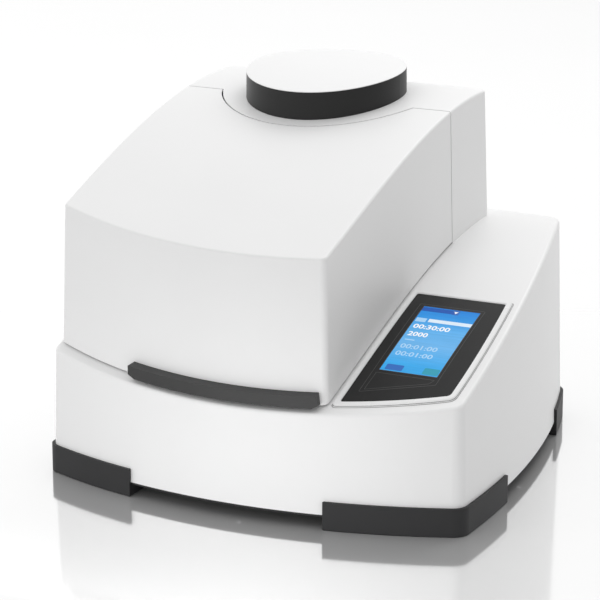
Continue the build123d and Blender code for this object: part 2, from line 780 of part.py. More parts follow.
# Chamber liner: a deep drawn tub that hangs in the deck by its flange
with BuildPart() as chamber_liner:
    with BuildSketch(Plane.XY.offset(TUB_FLOOR)):
        add(tub_plan(0))
    extrude(amount=OUTSIDE)
    extrude(under(DECK, TUB_SHEET), amount=OUTSIDE, both=True, mode=Mode.INTERSECT)
    add(slab(tub_plan(TUB_FLANGE), DECK, SEAT, TUB_SHEET))
    with BuildSketch(Plane.XY.offset(FLOOR_TOP)):
        add(tub_plan(-TUB_SHEET))
    extrude(amount=OUTSIDE, mode=Mode.SUBTRACT)
    with BuildSketch(Plane.XY.offset(TUB_FLOOR - TUB_SHEET)):
        with Locations([(x, y) for x in CRANK_X for y in CRANK_Y]):
            Circle(SEAL_R)
    extrude(amount=3 * TUB_SHEET, mode=Mode.SUBTRACT)
save(chamber_liner, "chamber_liner")

with BuildPart() as chamber_gasket:
    gasket_ring = ring_plan(tub_plan(TUB_FLANGE), tub_plan(TUB_FLANGE - GASKET_WIDE))
    gasket_plan = keep(gasket_ring, -OUTSIDE, OUTSIDE, -OUTSIDE, 0)
    add(slab(gasket_plan, DECK, TUB_SHEET + SEAT, TUB_SHEET + GASKET_TALL))
save(chamber_gasket, "chamber_gasket")

with BuildPart() as shaft_seals:
    with BuildSketch(Plane.XY.offset(TUB_FLOOR)):
        with Locations([(x, y) for x in CRANK_X for y in CRANK_Y]):
            Circle(SEAL_R - SEAT)
            Circle(SHAFT_R + MOVE, mode=Mode.SUBTRACT)
    extrude(amount=SEAL_TALL)
save(shaft_seals, "shaft_seals")


# Eccentric cranks: shaft, half-round counterweight, disc and offset pin in one forging
def crank(x, y, pin_offset):
    """One crankshaft with its counterweight opposite the pin."""
    side = Align.MAX if pin_offset > 0 else Align.MIN
    with BuildPart() as piece:
        with BuildSketch(Plane.XY.offset(SHAFT_LOW)):
            with Locations((x, y)):
                Circle(SHAFT_R)
        extrude(amount=DISC_Z - SHAFT_LOW)
        with BuildSketch(Plane.XY.offset(WEIGHT_Z)):
            with Locations((x, y)):
                Circle(WEIGHT_R)
                Rectangle(WEIGHT_R, 2 * WEIGHT_R, align=(side, Align.CENTER), mode=Mode.INTERSECT)
        extrude(amount=WEIGHT_T)
        with BuildSketch(Plane.XY.offset(DISC_Z)):
            with Locations((x, y)):
                Circle(DISC_R)
        extrude(amount=DISC_T)
        with BuildSketch(Plane.XY.offset(PIN_Z)):
            with Locations((x + pin_offset, y)):
                Circle(PIN_R)
        extrude(amount=PIN_TALL)
    return piece


def pulley(x, y, z):
    """Flanged belt pulley on a crankshaft."""
    with BuildPart() as piece:
        with BuildSketch(Plane.XY.offset(z)):
            with Locations((x, y)):
                Circle(PULLEY_R)
                Circle(SHAFT_R + SEAT / 2, mode=Mode.SUBTRACT)
        extrude(amount=PULLEY_TALL)
    return piece


SIDES = ("left", "right")
ENDS = ("front", "rear")
for side_name, crank_x, pin_offset in zip(SIDES, CRANK_X, PIN_OFFSET):
    for end_name, crank_y in zip(ENDS, CRANK_Y):
        pieces = [crank(crank_x, crank_y, pin_offset).part, pulley(crank_x, crank_y, DRIVE_BELT_Z).part]
        if (side_name, end_name) == ("right", "front"):
            pieces.append(pulley(crank_x, crank_y, MOTOR_BELT_Z).part)
        save_group(pieces, f"crank_{side_name}_{end_name}")

SHAFTS = [(x, y) for x in CRANK_X for y in CRANK_Y]
PLATE_SPAN = (CRANK_X[1] - CRANK_X[0] + 2 * DRIVE_MARGIN_X, CRANK_Y[1] - CRANK_Y[0] + 2 * DRIVE_MARGIN_Y)
PLATE_AT = ((CRANK_X[0] + CRANK_X[1]) / 2, BRACKET_Y)
LEG_SPAN = (PLATE_SPAN[0] / 2 - LEG_INSET, PLATE_SPAN[1] / 2 - LEG_INSET)
LEGS = [
    (PLATE_AT[0] + side * LEG_SPAN[0], PLATE_AT[1] + end * LEG_SPAN[1])
    for side in (-1, 1)
    for end in (-1, 1)
]
with BuildPart() as drive_plate:
    with BuildSketch(Plane.XY.offset(DRIVE_PLATE_Z)):
        with Locations(PLATE_AT):
            RectangleRounded(*PLATE_SPAN, radius=LEG_R)
        with Locations(SHAFTS):
            Circle(HOUSING_R + SEAT, mode=Mode.SUBTRACT)
            with PolarLocations(SCREW_RING, SCREWS_EACH, start_angle=SCREW_START):
                Circle(SCREW_R + SEAT, mode=Mode.SUBTRACT)
    extrude(amount=DRIVE_PLATE_T)
save(drive_plate, "drive_plate")

HOUSING_LOW = DRIVE_PLATE_Z - HOUSING_DROP
with BuildPart() as bearing_housings:
    with BuildSketch(Plane.XY.offset(HOUSING_LOW)):
        with Locations(SHAFTS):
            Circle(HOUSING_R)
    extrude(amount=HOUSING_DROP + DRIVE_PLATE_T)
    with BuildSketch(Plane.XY.offset(DRIVE_PLATE_Z - FLANGE_T)):
        with Locations(SHAFTS):
            Circle(FLANGE_R)
    extrude(amount=FLANGE_T)
    with BuildSketch(Plane.XY.offset(HOUSING_LOW)):
        with Locations(SHAFTS):
            Circle(BEARING_R - BEARING_LIP)
            with PolarLocations(SCREW_RING, SCREWS_EACH, start_angle=SCREW_START):
                Circle(SCREW_R + SEAT)
    extrude(amount=OUTSIDE, mode=Mode.SUBTRACT)
    with BuildSketch(Plane.XY.offset(HOUSING_LOW + BEARING_LIP)):
        with Locations(SHAFTS):
            Circle(BEARING_R)
    extrude(amount=OUTSIDE, mode=Mode.SUBTRACT)
save(bearing_housings, "bearing_housings")

with BuildPart() as crank_bearings:
    for ring_z in (HOUSING_LOW + BEARING_LIP, DRIVE_PLATE_Z + DRIVE_PLATE_T - BEARING_T):
        with BuildSketch(Plane.XY.offset(ring_z)):
            with Locations(SHAFTS):
                Circle(BEARING_R - RUN)
                Circle(SHAFT_R + RUN, mode=Mode.SUBTRACT)
        extrude(amount=BEARING_T)
save(crank_bearings, "crank_bearings")

with BuildPart() as bearing_screws:
    with BuildSketch(Plane.XY.offset(DRIVE_PLATE_Z - FLANGE_T)):
        with Locations(SHAFTS):
            with PolarLocations(SCREW_RING, SCREWS_EACH, start_angle=SCREW_START):
                Circle(SCREW_R)
    extrude(amount=FLANGE_T + DRIVE_PLATE_T)
    with BuildSketch(Plane.XY.offset(DRIVE_PLATE_Z + DRIVE_PLATE_T)):
        with Locations(SHAFTS):
            with PolarLocations(SCREW_RING, SCREWS_EACH, start_angle=SCREW_START):
                Circle(SCREW_HEAD_R)
    extrude(amount=SCREW_HEAD)
save(bearing_screws, "bearing_screws")

with BuildPart() as drive_mounts:
    with BuildSketch(Plane.XY.offset(PAN_TOP)):
        with Locations(LEGS):
            Circle(MOUNT_R)
    extrude(amount=MOUNT_TALL)
    with BuildSketch(Plane.XY.offset(PAN_TOP + MOUNT_TALL)):
        with Locations(LEGS):
            Circle(LEG_R)
    extrude(amount=DRIVE_PLATE_Z - PAN_TOP - MOUNT_TALL)
save(drive_mounts, "drive_mounts")


# Belts: one loop round the four crank pulleys, one from the motor to the front right crank
def belt_loop(grow):
    """Outline of the loop round the four crank pulleys."""
    with BuildSketch() as loop:
        with Locations(PLATE_AT):
            radius = PULLEY_R + grow
            wide = CRANK_X[1] - CRANK_X[0] + 2 * radius
            long = CRANK_Y[1] - CRANK_Y[0] + 2 * radius
            RectangleRounded(wide, long, radius)
    return loop.sketch


def motor_loop(grow):
    """Outline of the loop between the motor and the front right crank."""
    span = (MOTOR_X - CRANK_X[1], MOTOR_Y - CRANK_Y[0])
    length = sqrt(span[0] ** 2 + span[1] ** 2)
    with BuildSketch() as loop:
        with Locations(((MOTOR_X + CRANK_X[1]) / 2, (MOTOR_Y + CRANK_Y[0]) / 2)):
            SlotCenterToCenter(length, 2 * (PULLEY_R + grow), rotation=degrees(atan2(span[1], span[0])))
    return loop.sketch


with BuildPart() as drive_belts:
    with BuildSketch(Plane.XY.offset(DRIVE_BELT_Z + BELT_MARGIN)):
        add(ring_plan(belt_loop(SEAT + BELT_T), belt_loop(SEAT)))
    extrude(amount=PULLEY_TALL - 2 * BELT_MARGIN)
    with BuildSketch(Plane.XY.offset(MOTOR_BELT_Z + BELT_MARGIN)):
        add(ring_plan(motor_loop(SEAT + BELT_T), motor_loop(SEAT)))
    extrude(amount=PULLEY_TALL - 2 * BELT_MARGIN)
save(drive_belts, "drive_belts")

# Motor
MOTOR_Z = MOTOR_PLATE_Z + MOTOR_PLATE_T
with BuildPart() as motor_housing:
    with BuildSketch(Plane.XY.offset(MOTOR_Z)):
        with Locations((MOTOR_X, MOTOR_Y)):
            Circle(MOTOR_R)
            with PolarLocations(MOTOR_R, MOTOR_RIBS):
                Rectangle(MOTOR_RIB, MOTOR_RIB, mode=Mode.SUBTRACT)
            Circle(MOTOR_SHAFT_R + RUN, mode=Mode.SUBTRACT)
    extrude(amount=MOTOR_TALL)
    with BuildSketch(Plane.XY.offset(MOTOR_Z + MOTOR_CAP_T)):
        with Locations((MOTOR_X, MOTOR_Y)):
            Circle(ROTOR_R + ROTOR_GAP)
    extrude(amount=MOTOR_TALL - 2 * MOTOR_CAP_T, mode=Mode.SUBTRACT)
save(motor_housing, "motor_housing")

MOTOR_LEGS = MOTOR_PLATE - 2 * MOTOR_LEG_INSET
with BuildPart() as motor_bracket:
    with BuildSketch(Plane.XY.offset(MOTOR_PLATE_Z)):
        with Locations((MOTOR_X, MOTOR_Y)):
            RectangleRounded(MOTOR_PLATE, MOTOR_PLATE, MOTOR_LEG_R)
            Circle(MOTOR_SHAFT_R + SHELL, mode=Mode.SUBTRACT)
    extrude(amount=MOTOR_PLATE_T)
    with BuildSketch(Plane.XY.offset(PAN_TOP)):
        with Locations((MOTOR_X, MOTOR_Y)):
            with GridLocations(MOTOR_LEGS, MOTOR_LEGS, 2, 2):
                Circle(MOTOR_LEG_R)
    extrude(amount=MOTOR_PLATE_Z - PAN_TOP)
save(motor_bracket, "motor_bracket")

with BuildPart() as motor_shaft:
    with BuildSketch(Plane.XY.offset(SHAFT_LOW)):
        with Locations((MOTOR_X, MOTOR_Y)):
            Circle(MOTOR_SHAFT_R)
    extrude(amount=MOTOR_Z + MOTOR_TALL - SHAFT_LOW)
    with BuildSketch(Plane.XY.offset(MOTOR_Z + MOTOR_TALL / 2 - ROTOR_TALL / 2)):
        with Locations((MOTOR_X, MOTOR_Y)):
            Circle(ROTOR_R)
    extrude(amount=ROTOR_TALL)

with BuildPart() as motor_pulley:
    with BuildSketch(Plane.XY.offset(MOTOR_BELT_Z)):
        with Locations((MOTOR_X, MOTOR_Y)):
            Circle(PULLEY_R)
            Circle(MOTOR_SHAFT_R + SEAT / 2, mode=Mode.SUBTRACT)
    extrude(amount=PULLEY_TALL)
save_group([motor_shaft.part, motor_pulley.part], "motor_rotor")


# Jar station: bracket on two crank pins, jar with lid, clamp bar on two studs, two star knobs
def jar_outline(x, grow):
    """Oval outline of a jar, grown outwards."""
    with BuildSketch() as outline:
        with Locations((x, BRACKET_Y)):
            SlotOverall(JAR_LONG + 2 * grow, JAR_WIDE + 2 * grow, rotation=90)
    return outline.sketch


for side_name, crank_x, pin_offset in zip(SIDES, CRANK_X, PIN_OFFSET):
    jar_x = crank_x + pin_offset
    studs = [(jar_x, BRACKET_Y - POST_Y), (jar_x, BRACKET_Y + POST_Y)]
    with BuildPart() as jar_bracket:
        with BuildSketch(Plane.XY.offset(PLATE_Z)):
            with Locations((jar_x, BRACKET_Y)):
                RectangleRounded(PLATE_WIDE, PLATE_LONG, PLATE_CORNER)
        extrude(amount=PLATE_T)
        with BuildSketch(Plane.XY.offset(PLATE_Z + PLATE_T)):
            add(ring_plan(jar_outline(jar_x, SEAT + CRADLE_WALL), jar_outline(jar_x, SEAT)))
        extrude(amount=CRADLE_TALL)
        with BuildSketch(Plane.XY.offset(PLATE_Z + PLATE_T)):
            with Locations(studs):
                Circle(POST_R)
        extrude(amount=BAR_Z - SEAT - PLATE_Z - PLATE_T)
        with BuildSketch(Plane.XY.offset(BAR_Z - SEAT)):
            with Locations(studs):
                Circle(STUD_R)
        extrude(amount=SEAT + BAR_T + SEAT + STUD_IN_KNOB)
        with BuildSketch(Plane.XY.offset(PLATE_Z)):
            with Locations([(jar_x, y) for y in CRANK_Y]):
                Circle(PIN_R + RUN)
        extrude(amount=PIN_TALL - PLATE_GAP + SEAT, mode=Mode.SUBTRACT)
    save(jar_bracket, f"jar_bracket_{side_name}")

    with BuildPart() as jar_pot:
        with BuildSketch(Plane.XY.offset(JAR_Z)):
            add(jar_outline(jar_x, 0))
        extrude(amount=JAR_TALL)
        chamfer(jar_pot.faces().sort_by(Axis.Z)[0].edges(), length=JAR_CHAMFER)
        with BuildSketch(Plane.XY.offset(JAR_Z + JAR_WALL)):
            add(jar_outline(jar_x, -JAR_WALL))
        extrude(amount=JAR_TALL, mode=Mode.SUBTRACT)
    with BuildPart() as jar_lid:
        with BuildSketch(Plane.XY.offset(LID_Z)):
            add(jar_outline(jar_x, 0))
        extrude(amount=LID_T)
        chamfer(jar_lid.faces().sort_by(Axis.Z)[-1].edges(), length=LID_CHAMFER)
        with BuildSketch(Plane.XY.offset(LID_Z + LID_T)):
            with Locations((jar_x, BRACKET_Y)):
                Circle(LID_BOSS_R)
        extrude(amount=LID_BOSS)
        with BuildSketch(Plane.XY.offset(LID_Z - LID_SEAL - LID_PLUG)):
            add(jar_outline(jar_x, -JAR_WALL - MOVE))
        extrude(amount=LID_PLUG + LID_SEAL)
    with BuildPart() as lid_seal:
        with BuildSketch(Plane.XY.offset(LID_Z - LID_SEAL)):
            add(ring_plan(jar_outline(jar_x, -SEAL_INSET), jar_outline(jar_x, -JAR_WALL + SEAL_INSET)))
        extrude(amount=LID_SEAL)
    save(jar_pot, f"jar_{side_name}")
    save_group([jar_lid.part, lid_seal.part], f"jar_lid_{side_name}")

    with BuildPart() as clamp_bar:
        with BuildSketch(Plane.XY.offset(BAR_Z)):
            with Locations((jar_x, BRACKET_Y)):
                SlotCenterToCenter(2 * POST_Y, BAR_WIDE, rotation=90)
            with Locations(studs):
                Circle(STUD_R + MOVE, mode=Mode.SUBTRACT)
        extrude(amount=BAR_T)
        chamfer(clamp_bar.faces().sort_by(Axis.Z)[-1].outer_wire().edges(), length=JAR_CHAMFER)
    save(clamp_bar, f"clamp_bar_{side_name}")

    for end_name, stud in zip(ENDS, studs):
        with BuildPart() as star_knob:
            with BuildSketch(Plane.XY.offset(KNOB_Z)):
                with Locations(stud):
                    Circle(KNOB_R)
                    with PolarLocations(KNOB_R + KNOB_DIMPLE_R / 2, KNOB_LOBES):
                        Circle(KNOB_DIMPLE_R, mode=Mode.SUBTRACT)
            extrude(amount=KNOB_TALL)
            chamfer(star_knob.faces().sort_by(Axis.Z)[-1].edges(), length=KNOB_CHAMFER)
            with BuildSketch(Plane.XY.offset(KNOB_Z)):
                with Locations(stud):
                    Circle(STUD_R + RUN)
            extrude(amount=STUD_IN_KNOB + SEAT, mode=Mode.SUBTRACT)
        save(star_knob, f"star_knob_{side_name}_{end_name}")

# Hood hinge: quarter ring arms that swing round the front edge of the tower's roof
ARM_FRONT_Y = HINGE_Y - ARM_OUT - ARM_REACH
ARM_REAR_Y = HINGE_Y - ARM_IN - SHELL
with BuildPart() as hinge_arms:
    for arm_x in HINGE_X:
        with BuildSketch(Plane.YZ.offset(arm_x - ARM_T / 2)):
            with Locations((HINGE_Y, HINGE_Z)):
                Circle(ARM_OUT)
                Circle(ARM_IN, mode=Mode.SUBTRACT)
            with BuildLine():
                Polyline(
                    (HINGE_Y, HINGE_Z),
                    (HINGE_Y - OUTSIDE, HINGE_Z),
                    (HINGE_Y - OUTSIDE, HINGE_Z - OUTSIDE),
                    (HINGE_Y - OUTSIDE * cos(radians(ARM_LOW)), HINGE_Z - OUTSIDE * sin(radians(ARM_LOW))),
                    close=True,
                )
            make_face(mode=Mode.INTERSECT)
            link_turn = radians(ARM_LOW) - ARM_LINK / 2 / ARM_IN
            link_mid = (ARM_IN + ARM_OUT) / 4
            with Locations((HINGE_Y - link_mid * cos(link_turn), HINGE_Z - link_mid * sin(link_turn))):
                Rectangle(2 * link_mid, ARM_LINK, rotation=degrees(link_turn))
            with Locations((HINGE_Y, HINGE_Z)):
                Circle(ARM_HUB)
                Circle(HINGE_PIN_R + RUN, mode=Mode.SUBTRACT)
            with BuildLine():
                Polyline(
                    (ARM_REAR_Y, HINGE_Z - ARM_LINK),
                    (ARM_FRONT_Y, HINGE_Z - 2 * ARM_LINK),
                    (ARM_FRONT_Y, HINGE_Z + 2 * ARM_LINK),
                    (ARM_REAR_Y, HINGE_Z + 2 * ARM_LINK),
                    close=True,
                )
            make_face()
        extrude(amount=ARM_T)
        pad_x = (arm_x - ARM_PAD_WIDE / 2, arm_x + ARM_PAD_WIDE / 2)
        pad_plan = keep(upper_plan(2 * SHELL), *pad_x, ARM_FRONT_Y, ARM_REAR_Y - SHELL)
        add(slab(pad_plan, ROOF, -SHELL - SEAT - ARM_PAD_T, -SHELL - SEAT))
    extrude(under(ROOF, -SHELL - SEAT), amount=OUTSIDE, both=True, mode=Mode.INTERSECT)
save(hinge_arms, "hinge_arms")

CHEEK_AT = ARM_T / 2 + MOVE + HINGE_CHEEK / 2
inner_tower = upper_block(SHELL + SEAT, 0, -SHELL - SEAT)
with BuildPart() as hinge_cheeks:
    with BuildSketch(Plane.XY.offset(HINGE_Z - ARM_HUB)):
        with Locations([(x + side * CHEEK_AT, HINGE_Y - ARM_HUB) for x in HINGE_X for side in (-1, 1)]):
            Rectangle(HINGE_CHEEK, OUTSIDE, align=(Align.CENTER, Align.MIN))
    extrude(amount=OUTSIDE)
    add(inner_tower, mode=Mode.INTERSECT)
    with BuildSketch(Plane.YZ.offset(-OUTSIDE)):
        with Locations((HINGE_Y, HINGE_Z)):
            Circle(HINGE_PIN_R + RUN)
    extrude(amount=2 * OUTSIDE, mode=Mode.SUBTRACT)
with BuildPart() as hinge_pins:
    for arm_x in HINGE_X:
        with BuildSketch(Plane.YZ.offset(arm_x - CHEEK_AT - HINGE_CHEEK / 2)):
            with Locations((HINGE_Y, HINGE_Z)):
                Circle(HINGE_PIN_R)
        extrude(amount=2 * CHEEK_AT + HINGE_CHEEK)
save_group(list(hinge_cheeks.part.solids()) + list(hinge_pins.part.solids()), "hinge_brackets")

# Hood lock: the striker plate hangs from the hood frame, and the lock's rear face leans to clear its swing
STRIKER_FRONT = STRIKER_Y - STRIKER_T / 2
BOLT_Z = STRIKER_LOW + STRIKER_EDGE
BOLT_TIP = STRIKER_FRONT - STRIKER_LEAN * (STRIKER_EDGE + BOLT_R) - MOVE
with BuildPart() as latch_striker:
    with BuildSketch(Plane.XY.offset(STRIKER_LOW)):
        with Locations((UPPER_MID_X, STRIKER_Y)):
            Rectangle(STRIKER_WIDE, STRIKER_T)
    extrude(amount=OUTSIDE)
    extrude(under(DECK, FRAME_RISE - SEAT), amount=OUTSIDE, both=True, mode=Mode.INTERSECT)
    with BuildSketch(Plane.XZ.offset(-STRIKER_Y - STRIKER_T)):
        with Locations((UPPER_MID_X, BOLT_Z)):
            Rectangle(2 * (BOLT_R + STRIKER_PLAY), 2 * (BOLT_R + STRIKER_PLAY))
    extrude(amount=2 * STRIKER_T, mode=Mode.SUBTRACT)
save(latch_striker, "latch_striker")

with BuildPart() as latch_bolt:
    with BuildSketch(Plane.XZ.offset(-BOLT_TIP)):
        with Locations((UPPER_MID_X, BOLT_Z)):
            Circle(BOLT_R)
    extrude(amount=BOLT_LONG)
save(latch_bolt, "latch_bolt")

with BuildPart() as latch_housing:
    with BuildSketch(Plane.YZ.offset(UPPER_MID_X)):
        with BuildLine():
            Polyline(
                (STRIKER_FRONT - MOVE, LATCH_LOW),
                (STRIKER_FRONT - MOVE, STRIKER_LOW),
                (STRIKER_FRONT - MOVE - STRIKER_LEAN * OUTSIDE, STRIKER_LOW + OUTSIDE),
                (STRIKER_FRONT - MOVE - STRIKER_LEAN * OUTSIDE, LATCH_LOW),
                close=True,
            )
        make_face()
    extrude(amount=LATCH_WIDE / 2, both=True)
    add(body_block(SHELL + SEAT, -SHELL - SEAT), mode=Mode.INTERSECT)
    with BuildSketch(Plane.XZ.offset(OUTSIDE)):
        with Locations((UPPER_MID_X, BOLT_Z)):
            Circle(BOLT_R + RUN)
    extrude(amount=-OUTSIDE, mode=Mode.SUBTRACT)
save(latch_housing, "latch_housing")

# Cooling: tank under the tongue, radiator, fan and grille behind it, pump on the floor of the base
above_deck = side_section(DECK, SEAT, ROOF, -2 * SHELL)
with BuildPart() as coolant_tank:
    with BuildSketch():
        with Locations((UPPER_MID_X, TONGUE_Y)):
            Circle(TANK_R)
        with Locations((UPPER_MID_X, TANK_BACK)):
            Rectangle(2 * OUTSIDE, OUTSIDE, align=(Align.CENTER, Align.MIN), mode=Mode.SUBTRACT)
    extrude(amount=TANK_TOP)
    extrude(above_deck, amount=OUTSIDE, both=True, mode=Mode.INTERSECT)
    with BuildSketch(Plane.XY.offset(TANK_TOP)):
        with Locations((UPPER_MID_X, TANK_BACK - 2 * NECK_R)):
            Circle(NECK_R)
    extrude(amount=NECK_R)
save(coolant_tank, "coolant_tank")

RADIATOR_LOW = curve_at(DECK, RADIATOR_Y + RADIATOR_T)
with BuildPart() as radiator:
    with BuildSketch(Plane.XZ.offset(-RADIATOR_Y)):
        with Locations((UPPER_MID_X, RADIATOR_TOP)):
            Rectangle(RADIATOR_WIDE, OUTSIDE, align=(Align.CENTER, Align.MAX))
        fin_height = RADIATOR_TOP - RADIATOR_LOW - 3 * RADIATOR_FRAME
        fin_pitch = (RADIATOR_WIDE - 2 * RADIATOR_FRAME) / FIN_COUNT
        with Locations((UPPER_MID_X, RADIATOR_TOP - RADIATOR_FRAME - fin_height / 2)):
            with GridLocations(fin_pitch, 1, FIN_COUNT, 1):
                Rectangle(fin_pitch - FIN_T, fin_height, mode=Mode.SUBTRACT)
    extrude(amount=-RADIATOR_T)
    extrude(above_deck, amount=OUTSIDE, both=True, mode=Mode.INTERSECT)
save(radiator, "radiator")

FAN_AT = (UPPER_MID_X, FAN_Z)
with BuildPart() as fan_shroud:
    with BuildSketch(Plane.XZ.offset(-FAN_Y)):
        with Locations((UPPER_MID_X, FAN_Z + FAN_FRAME / 2)):
            Rectangle(FAN_FRAME, OUTSIDE, align=(Align.CENTER, Align.MAX))
        with Locations(FAN_AT):
            Circle(FAN_R + FAN_GAP, mode=Mode.SUBTRACT)
    extrude(amount=-SHROUD_DEEP)
    extrude(above_deck, amount=OUTSIDE, both=True, mode=Mode.INTERSECT)
    with BuildSketch(Plane.XZ.offset(-FAN_Y - SHROUD_DEEP)):
        with Locations(FAN_AT):
            Circle(FAN_HUB_R)
            with PolarLocations(FAN_R / 2, FAN_STRUTS):
                Rectangle(FAN_R + STRUT, STRUT)
    extrude(amount=STRUT / 2)
    with BuildSketch(Plane.XZ.offset(-FAN_Y - SHROUD_DEEP)):
        with Locations(FAN_AT):
            Circle(FAN_SHAFT_R + RUN)
    extrude(amount=STRUT / 2, mode=Mode.SUBTRACT)
save(fan_shroud, "fan_shroud")

with BuildPart() as fan_wheel:
    with BuildSketch(Plane.XZ.offset(-FAN_Y - FAN_SET)):
        with Locations(FAN_AT):
            Circle(FAN_HUB_R)
    extrude(amount=-FAN_DEEP)
    with BuildSketch(Plane.XZ.offset(-FAN_Y - FAN_SET - FAN_DEEP)):
        with Locations(FAN_AT):
            Circle(FAN_SHAFT_R)
    extrude(amount=-(SHROUD_DEEP - FAN_DEEP - FAN_SET))
    for blade in range(FAN_BLADES):
        turn = 2 * pi * blade / FAN_BLADES
        root = Plane(
            origin=(FAN_AT[0], FAN_Y + FAN_SET + FAN_DEEP / 2, FAN_AT[1]),
            x_dir=(0, 1, 0),
            z_dir=(cos(turn), 0, sin(turn)),
        )
        with BuildSketch(root.offset(FAN_HUB_R - BLADE_ROOT)):
            Rectangle(BLADE_T, FAN_DEEP, rotation=90 - BLADE_PITCH)
        extrude(amount=FAN_R - FAN_HUB_R)
save(fan_wheel, "fan_wheel")

with BuildPart() as rear_grille:
    with BuildSketch(Plane.XZ.offset(-UPPER_REAR_Y + 3 * SHELL)):
        with Locations((UPPER_MID_X, GRILLE_Z + GRILLE_TALL / 2)):
            Rectangle(GRILLE_WIDE - 2 * SEAT, GRILLE_TALL - 2 * SEAT)
    extrude(amount=-OUTSIDE)
    add(upper_block(0, 0, 0), mode=Mode.INTERSECT)
    add(upper_block(SHELL, -SHELL, SHELL), mode=Mode.SUBTRACT)
    louvre_plane = Plane(
        origin=(UPPER_MID_X, UPPER_REAR_Y, GRILLE_Z + GRILLE_TALL / 2),
        x_dir=(1, 0, 0),
        z_dir=(0, -cos(radians(LOUVRE_TILT)), sin(radians(LOUVRE_TILT))),
    )
    louvre_pitch = (GRILLE_TALL - 2 * GRILLE_FRAME) / LOUVRES
    with BuildSketch(louvre_plane):
        with GridLocations(1, louvre_pitch * cos(radians(LOUVRE_TILT)), 1, LOUVRES):
            Rectangle(GRILLE_WIDE - 2 * GRILLE_FRAME, LOUVRE_GAP)
    extrude(amount=LOUVRE_REACH, both=True, mode=Mode.SUBTRACT)
save(rear_grille, "rear_grille")

with BuildPart() as coolant_pump:
    with BuildSketch(Plane.XY.offset(PAN_TOP)):
        with Locations((PUMP_X, PUMP_Y)):
            Rectangle(2 * PUMP_R, 2 * PUMP_R)
    extrude(amount=SHELL)
    with BuildSketch(Plane.XY.offset(PAN_TOP + SHELL)):
        with Locations((PUMP_X, PUMP_Y)):
            Circle(PUMP_R)
    extrude(amount=PUMP_TALL - SHELL)
save(coolant_pump, "coolant_pump")

with BuildPart() as coolant_hoses:
    with BuildLine() as hose_path:
        FilletPolyline(
            (PUMP_X, PUMP_Y, PAN_TOP + PUMP_TALL),
            (PUMP_X, PUMP_Y, HOSE_TOP),
            (PUMP_X, RADIATOR_Y + RADIATOR_T + SEAT, HOSE_TOP),
            radius=2 * HOSE_R,
        )
    with BuildSketch(Plane(origin=hose_path.line @ 0, z_dir=hose_path.line % 0)):
        Circle(HOSE_R)
        Circle(HOSE_R - HOSE_WALL, mode=Mode.SUBTRACT)
    sweep()
save(coolant_hoses, "coolant_hoses")

with BuildPart() as hose_couplings:
    with BuildSketch(Plane.XZ.offset(-COUPLING_END)):
        with Locations([(x, COUPLING_Z) for x in COUPLING_X]):
            Circle(COUPLING_FLANGE_R)
    extrude(amount=OUTSIDE)
    add(body_block(-COUPLING_FLANGE_T, 0), mode=Mode.INTERSECT)
    add(body_block(-SEAT, 0), mode=Mode.SUBTRACT)
    with BuildSketch(Plane.XZ.offset(-COUPLING_END)):
        with Locations([(x, COUPLING_Z) for x in COUPLING_X]):
            Circle(COUPLING_R)
    extrude(amount=COUPLING_END - rear_wall_y(COUPLING_X[0], COUPLING_Z) + COUPLING_INSIDE)
    with BuildSketch(Plane.XZ.offset(-COUPLING_END)):
        with Locations([(x, COUPLING_Z) for x in COUPLING_X]):
            Circle(COUPLING_BORE)
    extrude(amount=OUTSIDE, mode=Mode.SUBTRACT)
save(hose_couplings, "hose_couplings")

# Mains inlet and rocker switch share one plate on the connection panel
SWITCH_FACE = rear_wall_y(SWITCH_X, INLET_Z)
SOCKETS = ((INLET_X, INLET_WIDE, INLET_TALL), (SWITCH_X, SWITCH_WIDE, SWITCH_TALL))
PLATE_WIDTH = SWITCH_X - INLET_X + (INLET_WIDE + SWITCH_WIDE) / 2 + 2 * FLANGE_EDGE


def switch_axle(radius, reach):
    """Rod on the rocker's axis that reaches into both side walls of its socket."""
    with BuildPart() as axle:
        with BuildSketch(Plane.YZ.offset(SWITCH_X)):
            with Locations((SWITCH_FACE - AXLE_DEEP, INLET_Z)):
                Circle(radius)
        extrude(amount=SWITCH_WIDE / 2 - SOCKET_WALL + reach, both=True)
    return axle.part


with BuildPart() as mains_inlet:
    with BuildSketch(Plane.XZ.offset(-OUTSIDE)):
        with Locations(((INLET_X + SWITCH_X) / 2, INLET_Z)):
            Rectangle(PLATE_WIDTH, SWITCH_TALL + 2 * FLANGE_EDGE)
    extrude(amount=OUTSIDE)
    add(body_block(-SEAT, 0), mode=Mode.SUBTRACT)
    for socket_x, socket_wide, socket_tall in SOCKETS:
        with BuildSketch(Plane.XZ.offset(INLET_DEEP - rear_wall_y(socket_x, INLET_Z))):
            with Locations((socket_x, INLET_Z)):
                Rectangle(socket_wide, socket_tall)
        extrude(amount=-OUTSIDE)
    add(body_block(-FLANGE_PLATE, 0), mode=Mode.INTERSECT)
    for socket_x, socket_wide, socket_tall in SOCKETS:
        with BuildSketch(Plane.XZ.offset(INLET_DEEP - SOCKET_WALL - rear_wall_y(socket_x, INLET_Z))):
            with Locations((socket_x, INLET_Z)):
                Rectangle(socket_wide - 2 * SOCKET_WALL, socket_tall - 2 * SOCKET_WALL)
        extrude(amount=-OUTSIDE, mode=Mode.SUBTRACT)
    with BuildSketch(Plane.XZ.offset(INLET_DEEP - rear_wall_y(INLET_X, INLET_Z))):
        with Locations((INLET_X, INLET_Z)):
            with Locations((-INLET_WIDE / 4, 0), (INLET_WIDE / 4, 0), (0, INLET_TALL / 5)):
                Rectangle(*PIN_BLADE)
    extrude(amount=-INLET_DEEP + 2 * SHELL)
    add(switch_axle(AXLE_R + RUN, AXLE_REACH + SEAT), mode=Mode.SUBTRACT)
save(mains_inlet, "mains_inlet")

